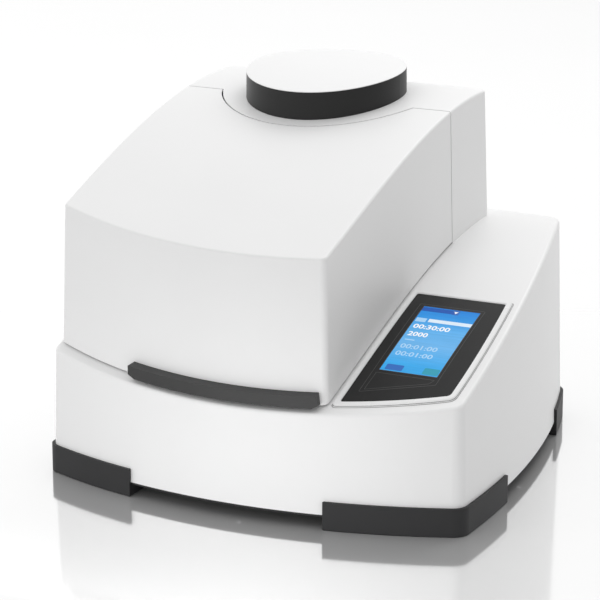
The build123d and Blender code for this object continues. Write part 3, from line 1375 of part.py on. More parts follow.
ROCKER_WIDE = SWITCH_WIDE - 2 * SOCKET_WALL - 2 * MOVE
ROCKER_TALL = SWITCH_TALL - 2 * SOCKET_WALL - 2 * ROCKER_GAP
with BuildPart() as rocker_switch:
    with BuildSketch(Plane.YZ.offset(SWITCH_X - ROCKER_WIDE / 2)):
        with BuildLine():
            Polyline(
                (SWITCH_FACE - ROCKER_DEEP, INLET_Z - ROCKER_TALL / 2),
                (SWITCH_FACE - ROCKER_DEEP, INLET_Z + ROCKER_TALL / 2),
                (SWITCH_FACE + ROCKER_RISE, INLET_Z + ROCKER_TALL / 2),
                (SWITCH_FACE + ROCKER_RISE / 2, INLET_Z),
                (SWITCH_FACE + ROCKER_RISE, INLET_Z - ROCKER_TALL / 2),
                close=True,
            )
        make_face()
    extrude(amount=ROCKER_WIDE)
    add(switch_axle(AXLE_R, AXLE_REACH))
save(rocker_switch, "rocker_switch")


# Electric boxes on the floor of the base
def floor_box(size, place):
    """A box with soft upright edges that stands on the base pan."""
    with BuildPart() as box:
        with BuildSketch(Plane.XY.offset(PAN_TOP)):
            with Locations(place):
                RectangleRounded(size[0], size[1], BOX_EDGE)
        extrude(amount=size[2])
    return box


save(floor_box(SUPPLY, SUPPLY_AT), "power_supply")
save(floor_box(CONTROLLER, CONTROLLER_AT), "drive_controller")
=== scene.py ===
"""Looks of a closed bench-top ball mill.

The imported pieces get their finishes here. The small fittings, the panel's lines, the display's picture,
the floor, the lights and the camera are made here. Lengths are in metres.
"""

import logging
import math
from collections.abc import Callable, Iterable, Iterator
from contextlib import contextmanager
from dataclasses import dataclass, field
from enum import Enum
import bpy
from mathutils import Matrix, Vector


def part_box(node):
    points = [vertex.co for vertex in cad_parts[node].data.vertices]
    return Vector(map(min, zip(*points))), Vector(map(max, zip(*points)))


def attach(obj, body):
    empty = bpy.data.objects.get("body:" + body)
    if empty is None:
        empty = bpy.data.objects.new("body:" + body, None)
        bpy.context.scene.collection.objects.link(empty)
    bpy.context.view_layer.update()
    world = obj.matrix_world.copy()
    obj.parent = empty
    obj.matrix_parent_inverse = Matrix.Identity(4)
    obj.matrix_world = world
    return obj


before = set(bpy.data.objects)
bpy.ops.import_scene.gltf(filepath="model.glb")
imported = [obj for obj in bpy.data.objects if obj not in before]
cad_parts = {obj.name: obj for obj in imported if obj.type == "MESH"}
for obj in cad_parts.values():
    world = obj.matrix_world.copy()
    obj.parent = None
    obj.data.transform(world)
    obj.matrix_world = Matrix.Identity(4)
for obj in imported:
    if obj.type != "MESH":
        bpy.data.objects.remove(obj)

from fnmatch import fnmatchcase
from typing import ClassVar

import bpy
from mathutils import Vector

LOG = logging.getLogger("mill")
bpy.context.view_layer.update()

# A spot is a place in plan, and a span is a pair of ends.
Colour = tuple[float, float, float]
Point = tuple[float, float, float]
Spot = tuple[float, float]
Span = tuple[float, float]
FaceTest = Callable[[bpy.types.MeshPolygon], bool]

ORIGIN = (0.0, 0.0, 0.0)
UP = (0.0, 0.0, 1.0)
DOWN = (0.0, 0.0, -1.0)
TO_FRONT = (0.0, -1.0, 0.0)
TO_REAR = (0.0, 1.0, 0.0)
SOFTENED_ANGLE = math.radians(40)
SHADED_ANGLE = math.radians(35)
LOOKS_UP = 0.9


class Pattern(Enum):
    """How a finish varies over its surface."""

    GRAIN = "fine even grain"
    BRUSHED = "long brushed lines"
    SMOOTH = "polished, with faint clouding"


class NodeBoard:
    """The shader nodes of one tree, added and linked in order."""

    noise_span: ClassVar[Span] = (0.3, 0.7)

    def __init__(self, tree: bpy.types.NodeTree) -> None:
        """Take over a node tree."""
        self.tree = tree

    def add(self, kind: str, **settings: object) -> bpy.types.Node:
        """Add a node and set its plain properties.

        Args:
            kind: Blender's type name of the node.
            **settings: Properties of the node by name.

        Returns:
            The new node.
        """
        node = self.tree.nodes.new(kind)
        for name, value in settings.items():
            setattr(node, name, value)
        return node

    def join(self, source: bpy.types.NodeSocket, target: bpy.types.NodeSocket) -> None:
        """Link one socket to another."""
        self.tree.links.new(source, target)

    def coordinate(self, kind: str, axis: str) -> bpy.types.NodeSocket:
        """One axis of the place that is shaded.

        Args:
            kind: Which coordinates, such as Object.
            axis: X, Y or Z.

        Returns:
            The socket of that axis.
        """
        place = self.add("ShaderNodeTexCoord")
        parts = self.add("ShaderNodeSeparateXYZ")
        self.join(place.outputs[kind], parts.inputs["Vector"])
        return parts.outputs[axis]

    def stretched_place(self, scale: Point) -> bpy.types.NodeSocket:
        """Object coordinates, stretched.

        Args:
            scale: Factor along each axis, per metre.

        Returns:
            The socket that gives the place.
        """
        place = self.add("ShaderNodeTexCoord")
        mapping = self.add("ShaderNodeMapping")
        mapping.inputs["Scale"].default_value = scale
        self.join(place.outputs["Object"], mapping.inputs["Vector"])
        return mapping.outputs["Vector"]

    def noise(self, scale: Point, detail: float) -> bpy.types.NodeSocket:
        """Noise over the piece.

        Args:
            scale: Its fineness along each axis, per metre.
            detail: How many finer layers it has.

        Returns:
            The socket of the noise, from 0 to 1.
        """
        texture = self.add("ShaderNodeTexNoise")
        texture.inputs["Scale"].default_value = 1.0
        texture.inputs["Detail"].default_value = detail
        self.join(self.stretched_place(scale), texture.inputs["Vector"])
        return texture.outputs["Fac"]

    def ranged(self, value: bpy.types.NodeSocket, source: Span, result: Span) -> bpy.types.NodeSocket:
        """Map one range of a value onto another.

        Args:
            value: Socket of the value.
            source: Both ends of the value's range.
            result: What the ends become.

        Returns:
            The socket of the mapped value.
        """
        mapped = self.add("ShaderNodeMapRange")
        for name, number in zip(("From Min", "From Max", "To Min", "To Max"), (*source, *result)):
            mapped.inputs[name].default_value = number
        self.join(value, mapped.inputs["Value"])
        return mapped.outputs["Result"]

    def spread(self, noise: bpy.types.NodeSocket, low: float, high: float) -> bpy.types.NodeSocket:
        """Map the middle of a noise onto a range."""
        return self.ranged(noise, self.noise_span, (low, high))

    def mix(self, factor: bpy.types.NodeSocket, first: Colour, second: Colour) -> bpy.types.NodeSocket:
        """Blend two colours by a factor.

        Args:
            factor: Socket from 0 to 1.
            first: Colour at 0.
            second: Colour at 1.

        Returns:
            The socket of the colour.
        """
        blend = self.add("ShaderNodeMix", data_type="RGBA")
        entries = {socket.identifier: socket for socket in blend.inputs}
        self.join(factor, entries["Factor_Float"])
        entries["A_Color"].default_value = (*first, 1.0)
        entries["B_Color"].default_value = (*second, 1.0)
        return next(socket for socket in blend.outputs if socket.identifier == "Result_Color")


class MaterialBoard(NodeBoard):
    """The nodes of one new material, round its surface shader."""

    def __init__(self, name: str) -> None:
        """Start the material.

        Args:
            name: Name of the new material.
        """
        self.material = bpy.data.materials.new(name)
        self.material.use_nodes = True
        super().__init__(self.material.node_tree)
        self.shader = self.tree.nodes["Principled BSDF"]

    def lead(self, source: bpy.types.NodeSocket, name: str) -> None:
        """Link a socket to the shader's socket of that name."""
        self.join(source, self.shader.inputs[name])

    def set_plain(self, values: dict[str, object]) -> None:
        """Set the shader's sockets that have one value all over."""
        for name, value in values.items():
            self.shader.inputs[name].default_value = value

    def bump(self, height: bpy.types.NodeSocket, depth: float) -> None:
        """Press a height pattern into the surface.

        Args:
            height: Socket of the height, from 0 to 1.
            depth: Depth of the pattern.
        """
        bump = self.add("ShaderNodeBump")
        bump.inputs["Strength"].default_value = 1.0
        bump.inputs["Distance"].default_value = depth
        self.join(height, bump.inputs["Height"])
        self.lead(bump.outputs["Normal"], "Normal")


@dataclass(frozen=True)
class Finish:
    """One surface finish, from its base colour to its grain.

    Attributes:
        name: Name of the material.
        colour: Its base colour.
        roughness: The middle of its roughness.
        metallic: From 0 for plastic to 1 for bare metal.
        pattern: How it varies.
        grain: Size of the fine pattern.
        depth: Depth of the fine pattern.
        shade: Share by which the colour varies.
        gloss_shade: How far the roughness varies.
        specular: Strength of its gloss.
    """

    name: str
    colour: Colour
    roughness: float
    metallic: float = 0.0
    pattern: Pattern = Pattern.GRAIN
    grain: float = 0.0007
    depth: float = 0.00003
    shade: float = 0.04
    gloss_shade: float = 0.05
    specular: float = 0.5
    fine_detail: ClassVar[float] = 2.0
    cloud_scale: ClassVar[Point] = (9.0, 9.0, 9.0)
    cloud_detail: ClassVar[float] = 4.0
    brush_stretch: ClassVar[float] = 0.02
    least_roughness: ClassVar[float] = 0.02

    def fine_scale(self) -> Point:
        """Fineness of the pattern along each axis.

        Returns:
            The factors, per metre.
        """
        fine = 1.0 / self.grain
        if self.pattern is Pattern.BRUSHED:
            return (fine * self.brush_stretch, fine, fine)
        return (fine, fine, fine)

    def build(self) -> bpy.types.Material:
        """Make the material.

        Returns:
            The finished material.
        """
        board = MaterialBoard(self.name)
        fine = board.noise(self.fine_scale(), self.fine_detail)
        cloud = board.noise(self.cloud_scale, self.cloud_detail)
        dark = tuple(channel * (1.0 - self.shade) for channel in self.colour)
        light = tuple(min(channel * (1.0 + self.shade), 1.0) for channel in self.colour)
        tint = board.spread(fine if self.metallic else cloud, 0.0, 1.0)
        board.lead(board.mix(tint, dark, light), "Base Color")
        glossy = max(self.roughness - self.gloss_shade, self.least_roughness)
        dull = min(self.roughness + self.gloss_shade, 1.0)
        board.lead(board.spread(cloud, glossy, dull), "Roughness")
        board.set_plain({"Metallic": self.metallic, "Specular IOR Level": self.specular})
        if self.pattern is not Pattern.SMOOTH:
            board.bump(fine, self.depth)
        return board.material


@dataclass(frozen=True)
class Glow:
    """A lit area of the display, with faint streaks.

    Attributes:
        name: Name of the material.
        stops: Shares of the display's length, from its front, each with its colour.
        streak: Share by which the streaks vary the light.
        strength: Strength of the light.
        reach: Y of the display's front and rear ends.
    """

    name: str
    stops: tuple[tuple[float, Colour], ...]
    streak: float = 0.03
    strength: ClassVar[float] = 0.94
    reach: ClassVar[Span] = (-0.2055, -0.0585)
    streak_scale: ClassVar[Point] = (25.0, 320.0, 25.0)
    streak_detail: ClassVar[float] = 2.0
    unlit_colour: ClassVar[Colour] = (0.01, 0.01, 0.012)
    specular: ClassVar[float] = 0.12
    roughness: ClassVar[float] = 0.3

    def ramp(self, board: MaterialBoard) -> bpy.types.NodeSocket:
        """Colours from the display's front to its rear.

        Args:
            board: The material's board.

        Returns:
            The socket of the colour.
        """
        ramp = board.add("ShaderNodeValToRGB")
        points = ramp.color_ramp.elements
        points.remove(points[0])
        share, colour = self.stops[0]
        points[0].position = share
        points[0].color = (*colour, 1.0)
        for share, colour in self.stops[1:]:
            points.new(share).color = (*colour, 1.0)
        along = board.ranged(board.coordinate("Object", "Y"), self.reach, (0.0, 1.0))
        board.join(along, ramp.inputs["Fac"])
        return ramp.outputs["Color"]

    def build(self) -> bpy.types.Material:
        """Make the material.

        Returns:
            The finished material.
        """
        board = MaterialBoard(self.name)
        streaks = board.noise(self.streak_scale, self.streak_detail)
        lit = board.add("ShaderNodeHueSaturation")
        board.join(self.ramp(board), lit.inputs["Color"])
        board.join(board.spread(streaks, 1.0 - self.streak, 1.0 + self.streak), lit.inputs["Value"])
        board.lead(lit.outputs["Color"], "Emission Color")
        board.set_plain({"Emission Strength": self.strength, "Base Color": (*self.unlit_colour, 1.0)})
        board.set_plain({"Specular IOR Level": self.specular, "Roughness": self.roughness})
        return board.material


def grey(level: float) -> Colour:
    """A neutral colour."""
    return (level, level, level)


SHELL_WHITE = Finish("moulded_white", grey(0.80), 0.42, grain=0.0009, depth=0.00002, shade=0.006)
RIM_WHITE = Finish("smooth_white", grey(0.80), 0.3, depth=0.000008, shade=0.006)
TRIM_DARK = Finish("dark_trim", grey(0.014), 0.42, grain=0.0008, depth=0.00004, shade=0.12, specular=0.32)
GRIP_DARK = Finish("dark_grip", grey(0.03), 0.45, grain=0.0008, depth=0.00004, shade=0.12, specular=0.4)
FOOT_DARK = Finish(
    "dark_foot", (0.026, 0.026, 0.027), 0.55, grain=0.0009, depth=0.00005, shade=0.12, specular=0.25
)
PAN_DARK = Finish("dark_pan", (0.03, 0.03, 0.031), 0.6, grain=0.002, shade=0.15, specular=0.2)
PANEL_BLACK = Finish(
    "panel_black", grey(0.018), 0.3, pattern=Pattern.SMOOTH, shade=0.08, gloss_shade=0.03, specular=0.13
)
PANEL_LINE = Finish("panel_line", grey(0.07), 0.4, pattern=Pattern.SMOOTH, specular=0.2)
PANEL_EDGE = Finish("panel_edge", (0.09, 0.055, 0.03), 0.4, pattern=Pattern.SMOOTH, specular=0.2)
MARK_WHITE = Finish("mark_white", grey(0.72), 0.5, depth=0.00001)
# Dark grey of the painted shade that stands for the shadow in the gap round the panel's bezel.
GAP_SHADE_GREY = Finish("seal_grey", grey(0.22), 0.7, depth=0.00002, shade=0.1, specular=0.2)
BLACK_PLASTIC = Finish("black_plastic", (0.02, 0.02, 0.021), 0.4, shade=0.15)
TANK_PLASTIC = Finish("tank_plastic", (0.66, 0.68, 0.67), 0.4, grain=0.0015, shade=0.05)
RUBBER = Finish("rubber", grey(0.015), 0.75, grain=0.0012, depth=0.00008, shade=0.2)
BRUSHED_STEEL = Finish(
    "brushed_steel", (0.56, 0.56, 0.57), 0.34, metallic=1.0, pattern=Pattern.BRUSHED, grain=0.0004,
    depth=0.00001, shade=0.12, gloss_shade=0.08,
)
TURNED_STEEL = Finish(
    "turned_steel", (0.6, 0.6, 0.61), 0.24, metallic=1.0, grain=0.0005, depth=0.000006, shade=0.06,
    gloss_shade=0.06,
)
BRIGHT_STEEL = Finish(
    "bright_steel", (0.72, 0.72, 0.73), 0.14, metallic=1.0, pattern=Pattern.SMOOTH, shade=0.03
)
MILLED_ALUMINIUM = Finish(
    "milled_aluminium", (0.74, 0.75, 0.76), 0.36, metallic=1.0, pattern=Pattern.BRUSHED, grain=0.0006,
    depth=0.000012, shade=0.07,
)
ZINC_SHEET = Finish(
    "zinc_sheet", (0.5, 0.51, 0.52), 0.42, metallic=0.85, grain=0.004, depth=0.00001, shade=0.16,
    gloss_shade=0.1,
)
CAST_IRON = Finish(
    "cast_iron", (0.13, 0.135, 0.14), 0.62, metallic=0.6, grain=0.0016, depth=0.00018, shade=0.2
)
DISPLAY_BLUE = Glow(
    "display_blue",
    (
        (0.0, (0.03, 0.37, 0.80)),
        (0.12, (0.04, 0.41, 0.86)),
        (0.42, (0.15, 0.47, 0.86)),
        (0.66, (0.11, 0.44, 0.85)),
        (0.84, (0.02, 0.30, 0.78)),
        (1.0, (0.004, 0.22, 0.70)),
    ),
    streak=0.06,
)
DISPLAY_WHITE = Glow("display_white", ((0.0, (0.97, 0.98, 1.0)),))
DISPLAY_PALE = Glow("display_pale", ((0.0, (0.40, 0.66, 0.93)),))
DISPLAY_BAND = Glow("display_band", ((0.0, (0.74, 0.86, 0.97)),))
DISPLAY_DEEP = Glow("display_deep", ((0.0, (0.006, 0.09, 0.42)),))
DISPLAY_KEY = Glow("display_key", ((0.0, (0.03, 0.15, 0.50)),))
DISPLAY_TEAL = Glow("display_teal", ((0.0, (0.03, 0.34, 0.47)),))

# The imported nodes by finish. A star stands for any ending, and the first name that fits a node counts.
NODES_BY_FINISH: dict[Finish | Glow, tuple[str, ...]] = {
    SHELL_WHITE: ("base_housing", "hood_shell", "tower_housing", "cap_top"),
    RIM_WHITE: ("panel_bezel",),
    TRIM_DARK: ("cap_band", "rear_grille"),
    GRIP_DARK: ("hood_grip",),
    FOOT_DARK: ("corner_feet",),
    PAN_DARK: ("base_pan",),
    PANEL_BLACK: ("panel_glass",),
    DISPLAY_BLUE: ("display_window",),
    BLACK_PLASTIC: (
        "display_module", "coolant_pump", "fan_shroud", "fan_wheel", "mains_inlet", "rocker_switch",
        "star_knob_*",
    ),
    TANK_PLASTIC: ("coolant_tank",),
    RUBBER: ("chamber_gasket", "coolant_hoses", "drive_belts", "drive_mounts", "shaft_seals"),
    BRUSHED_STEEL: (
        "chamber_liner", "hinge_brackets", "hinge_arms", "latch_striker", "hood_frame", "clamp_bar_*",
    ),
    BRIGHT_STEEL: ("bearing_screws", "hose_couplings", "latch_bolt"),
    MILLED_ALUMINIUM: ("motor_housing", "radiator", "tower_bulkhead", "jar_bracket_*"),
    TURNED_STEEL: ("drive_plate", "motor_rotor", "crank_*", "jar_*"),
    ZINC_SHEET: ("drive_controller", "latch_housing", "rear_panel", "motor_bracket", "power_supply"),
    CAST_IRON: ("bearing_housings",),
}


class Wardrobe:
    """Makes each finish once and puts it on pieces."""

    def __init__(self) -> None:
        """Start with nothing made."""
        self.made: dict[str, bpy.types.Material] = {}

    def dress(self, thing: bpy.types.Object, finish: Finish | Glow) -> None:
        """Give a whole piece one finish.

        Args:
            thing: The piece to dress.
            finish: The finish that it gets.
        """
        if finish.name not in self.made:
            self.made[finish.name] = finish.build()
        material = self.made[finish.name]
        if not thing.material_slots:
            thing.data.materials.append(material)
        for material_slot in thing.material_slots:
            material_slot.material = material

    def dress_frame(self) -> None:
        """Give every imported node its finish."""
        names = [(start, finish) for finish, starts in NODES_BY_FINISH.items() for start in starts]
        for name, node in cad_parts.items():
            finish = next(found for start, found in names if fnmatchcase(name, start))
            self.dress(node, finish)
            LOG.info("dressed %s in %s", name, finish.name)


WARDROBE = Wardrobe()


def looks_up(face: bpy.types.MeshPolygon) -> bool:
    """Whether a face looks up."""
    return face.normal.z > LOOKS_UP


@dataclass(frozen=True)
class Seat:
    """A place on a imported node's surface and the way that it faces there."""

    place: Vector
    normal: Vector

    @classmethod
    def met(cls, node: str, start: Point, way: Point) -> "Seat":
        """The place where a straight line first meets a node.

        Args:
            node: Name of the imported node.
            start: Where the line starts.
            way: Its direction.

        Returns:
            The seat.
        """
        hit, place, normal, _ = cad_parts[node].ray_cast(Vector(start), Vector(way))
        if not hit:
            raise ValueError(f"no part of {node} lies that way")
        return cls(place, normal)


class Piece:
    """One new piece, shaped with the operators that a modeller uses by hand.

    Attributes:
        soft_steps: Number of steps in a rounded edge.
        stroke_growth: How much bolder the digits are than the plain font's.
        stroke_steps: Number of steps in each curve of a digit.
    """

    soft_steps: ClassVar[int] = 2
    stroke_growth: ClassVar[float] = 0.02
    stroke_steps: ClassVar[int] = 3

    def __init__(self, name: str, thing: bpy.types.Object) -> None:
        """Take over an object that was just added.

        Args:
            name: Name of the piece.
            thing: The new object.
        """
        self.thing = thing
        self.thing.name = name
        self.thing.data.name = name

    @staticmethod
    def clear() -> None:
        """Deselect everything."""
        bpy.ops.object.select_all(action="DESELECT")

    @classmethod
    def block(cls, name: str, size: Point) -> "Piece":
        """Add a rectangular block round the origin.

        Args:
            name: Name of the piece.
            size: Its size along each axis.

        Returns:
            The piece.
        """
        cls.clear()
        bpy.ops.mesh.primitive_cube_add(size=1.0, location=ORIGIN)
        piece = cls(name, bpy.context.active_object)
        piece.thing.scale = size
        piece.settle()
        return piece

    @classmethod
    def disc(cls, name: str, centre: Point, radius: float, height: float, sides: int) -> "Piece":
        """Add an upright round disc.

        Args:
            name: Name of the piece.
            centre: Its centre.
            radius: Its radius.
            height: Its height.
            sides: Number of sides.

        Returns:
            The piece.
        """
        cls.clear()
        bpy.ops.mesh.primitive_cylinder_add(vertices=sides, radius=radius, depth=height, location=centre)
        piece = cls(name, bpy.context.active_object)
        piece.settle()
        return piece

    @classmethod
    def sheet(cls, name: str, corners: list[Spot], height: float) -> "Piece":
        """Add a flat four-cornered sheet.

        Args:
            name: Name of the piece.
            corners: Its corners in plan, anticlockwise from the front left.
            height: Its height.

        Returns:
            The piece.
        """
        cls.clear()
        bpy.ops.mesh.primitive_plane_add(size=1.0, location=(0.0, 0.0, height))
        piece = cls(name, bpy.context.active_object)
        piece.settle()
        targets = {(-1, -1): corners[0], (1, -1): corners[1], (1, 1): corners[2], (-1, 1): corners[3]}
        for vertex in piece.thing.data.vertices:
            key = (1 if vertex.co.x > 0 else -1, 1 if vertex.co.y > 0 else -1)
            vertex.co.x, vertex.co.y = targets[key]
        return piece

    @classmethod
    def digits(cls, name: str, text: str, start: Spot, size: Spot, height: float) -> "Piece":
        """Add a line of plain digits as a mesh.

        Args:
            name: Name of the piece.
            text: The digits.
            start: The middle of the line's left end, in plan.
            size: Length of the line and height of its digits.
            height: Height of the flat mesh.

        Returns:
            The piece.
        """
        cls.clear()
        bpy.ops.object.text_add(location=ORIGIN)
        line = bpy.context.active_object
        line.data.body = text
        line.data.offset = cls.stroke_growth
        line.data.resolution_u = cls.stroke_steps
        bpy.ops.object.convert(target="MESH")
        piece = cls(name, bpy.context.active_object)
        across = [vertex.co.x for vertex in piece.thing.data.vertices]
        along = [vertex.co.y for vertex in piece.thing.data.vertices]
        stretch = (size[0] / (max(across) - min(across)), size[1] / (max(along) - min(along)))
        piece.thing.scale = (*stretch, 1.0)
        piece.thing.location = (
            start[0] - min(across) * stretch[0],
            start[1] - (max(along) + min(along)) / 2.0 * stretch[1],
            height,
        )
        piece.settle()
        return piece

    @classmethod
    def join(cls, name: str, pieces: list["Piece"]) -> "Piece":
        """Join pieces to one.

        Args:
            name: Name of the joined piece.
            pieces: The pieces, at least one.

        Returns:
            The joined piece.
        """
        cls.clear()
        for piece in pieces:
            piece.thing.select_set(True)
        bpy.context.view_layer.objects.active = pieces[0].thing
        bpy.ops.object.join()
        return cls(name, bpy.context.active_object)

    def copy_to(self, name: str, seat: Seat) -> "Piece":
        """Copy the piece with its own mesh and stand it on a seat.

        Args:
            name: Name of the copy.
            seat: Where it stands and which way its top faces.

        Returns:
            The copy.
        """
        twin = self.thing.copy()
        twin.data = self.thing.data.copy()
        bpy.context.scene.collection.objects.link(twin)
        copy = Piece(name, twin)
        twin.location = seat.place
        twin.rotation_euler = seat.normal.to_track_quat("Z", "Y").to_euler()
        copy.settle()
        return copy

    def take_up(self) -> None:
        """Select this piece alone and make it active."""
        self.clear()
        self.thing.select_set(True)
        bpy.context.view_layer.objects.active = self.thing

    def settle(self) -> None:
        """Put the object at the origin, with its place in its mesh."""
        self.take_up()
        bpy.ops.object.transform_apply(location=True, rotation=True, scale=True)

    @contextmanager
    def at_work(self, chosen: FaceTest = lambda face: True) -> Iterator[None]:
        """Open edit mode with only the chosen faces selected.

        Args:
            chosen: Says of a face whether it is selected, and takes every face if it is left out.

        Yields:
            Nothing, while edit mode is open.
        """
        self.take_up()
        bpy.ops.object.mode_set(mode="EDIT")
        bpy.ops.mesh.select_mode(type="FACE")
        bpy.ops.mesh.select_all(action="DESELECT")
        bpy.ops.object.mode_set(mode="OBJECT")
        for face in self.thing.data.polygons:
            face.select = chosen(face)
        bpy.ops.object.mode_set(mode="EDIT")
        yield
        bpy.ops.object.mode_set(mode="OBJECT")

    def modify(self, kind: str, **settings: object) -> None:
        """Add one modifier and apply it.

        Args:
            kind: Blender's type name of the modifier.
            **settings: Its settings by name.
        """
        modifier = self.thing.modifiers.new(kind.lower(), kind)
        for name, value in settings.items():
            setattr(modifier, name, value)
        self.take_up()
        bpy.ops.object.modifier_apply(modifier=modifier.name)

    def soften(self, width: float) -> None:
        """Round the sharp edges by a width."""
        steps = self.soft_steps
        self.modify("BEVEL", width=width, segments=steps, limit_method="ANGLE", angle_limit=SOFTENED_ANGLE)

    def round_corners(self, radius: float, segments: int) -> None:
        """Round the corners of a flat piece."""
        self.modify("BEVEL", width=radius, segments=segments, affect="VERTICES")

    def press_on(self, node: str, rise: float, thick: float) -> None:
        """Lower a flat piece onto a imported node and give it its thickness.

        Args:
            node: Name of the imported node.
            rise: How far the piece's top ends above the node's.
            thick: Its thickness, downwards from that top.
        """
        self.modify(
            "SHRINKWRAP", target=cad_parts[node], wrap_method="PROJECT", use_project_z=True,
            use_negative_direction=True, use_positive_direction=False, offset=rise,
        )
        self.modify("SOLIDIFY", thickness=thick, offset=-1.0)

    def finish(self, body: str, finish: Finish | Glow, slot: str) -> None:
        """Shade, dress and attach the piece.

        Args:
            body: The body that it rides on.
            finish: Its finish.
            slot: Name of a material slot; not used.
        """
        self.take_up()
        bpy.ops.object.shade_smooth_by_angle(angle=SHADED_ANGLE)
        WARDROBE.dress(self.thing, finish)
        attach(self.thing, body)
        LOG.info("made %s on %s", self.thing.name, body)

    def discard(self) -> None:
        """Take the piece out of the scene."""
        bpy.data.objects.remove(self.thing, do_unlink=True)


@dataclass(frozen=True)
class ScrewSet:
    """Cap screws of one size with a round socket.

    Attributes:
        radius: Radius of the head.
        height: Height of the head.
        socket: Radius of the socket.
        depth: Depth of the socket.
        soft: Rounding of the edges.
    """

    radius: float = 0.0026
    height: float = 0.0014
    socket: float = 0.0013
    depth: float = 0.0008
    soft: float = 0.0003
    sides: ClassVar[int] = 24

    def model(self) -> Piece:
        """Model one screw head that stands on the origin.

        Returns:
            The screw head.
        """
        head = Piece.disc("screw_head", (0.0, 0.0, self.height / 2.0), self.radius, self.height, self.sides)
        with head.at_work(looks_up):
            bpy.ops.mesh.inset(thickness=self.radius - self.socket, depth=0.0)
            bpy.ops.mesh.inset(thickness=self.soft, depth=-self.depth)
        head.soften(self.soft)
        return head

    def fit(self, name: str, seats: list[Seat]) -> None:
        """Put one screw head on each seat of the base, and join the heads to one piece.

        Args:
            name: Name of the finished piece.
            seats: Where the heads sit.
        """
        model = self.model()
        heads = [model.copy_to(f"{name}_{index}", seat) for index, seat in enumerate(seats)]
        model.discard()
        Piece.join(name, heads).finish("base", BRIGHT_STEEL, "bright_steel")


@dataclass(frozen=True)
class LitArea:
    """A bar or key of the display's picture.

    Attributes:
        name: Name of the piece.
        finish: Its glow.
        across: Shares of the picture's width at its sides.
        down: Shares of the picture's length, from the top, at its ends.
        corner: Radius of its corners.
    """

    name: str
    finish: Glow
    across: Span
    down: Span
    corner: float = 0.0


@dataclass(frozen=True)
class LitLine:
    """A line of plain digits on the display.

    Attributes:
        name: Name of the piece.
        text: The digits.
        finish: Its glow.
        across: Shares of the picture's width at its ends.
        middle: Share of the picture's length, from the top, at its middle.
    """

    name: str
    text: str
    finish: Glow
    across: Span
    middle: float


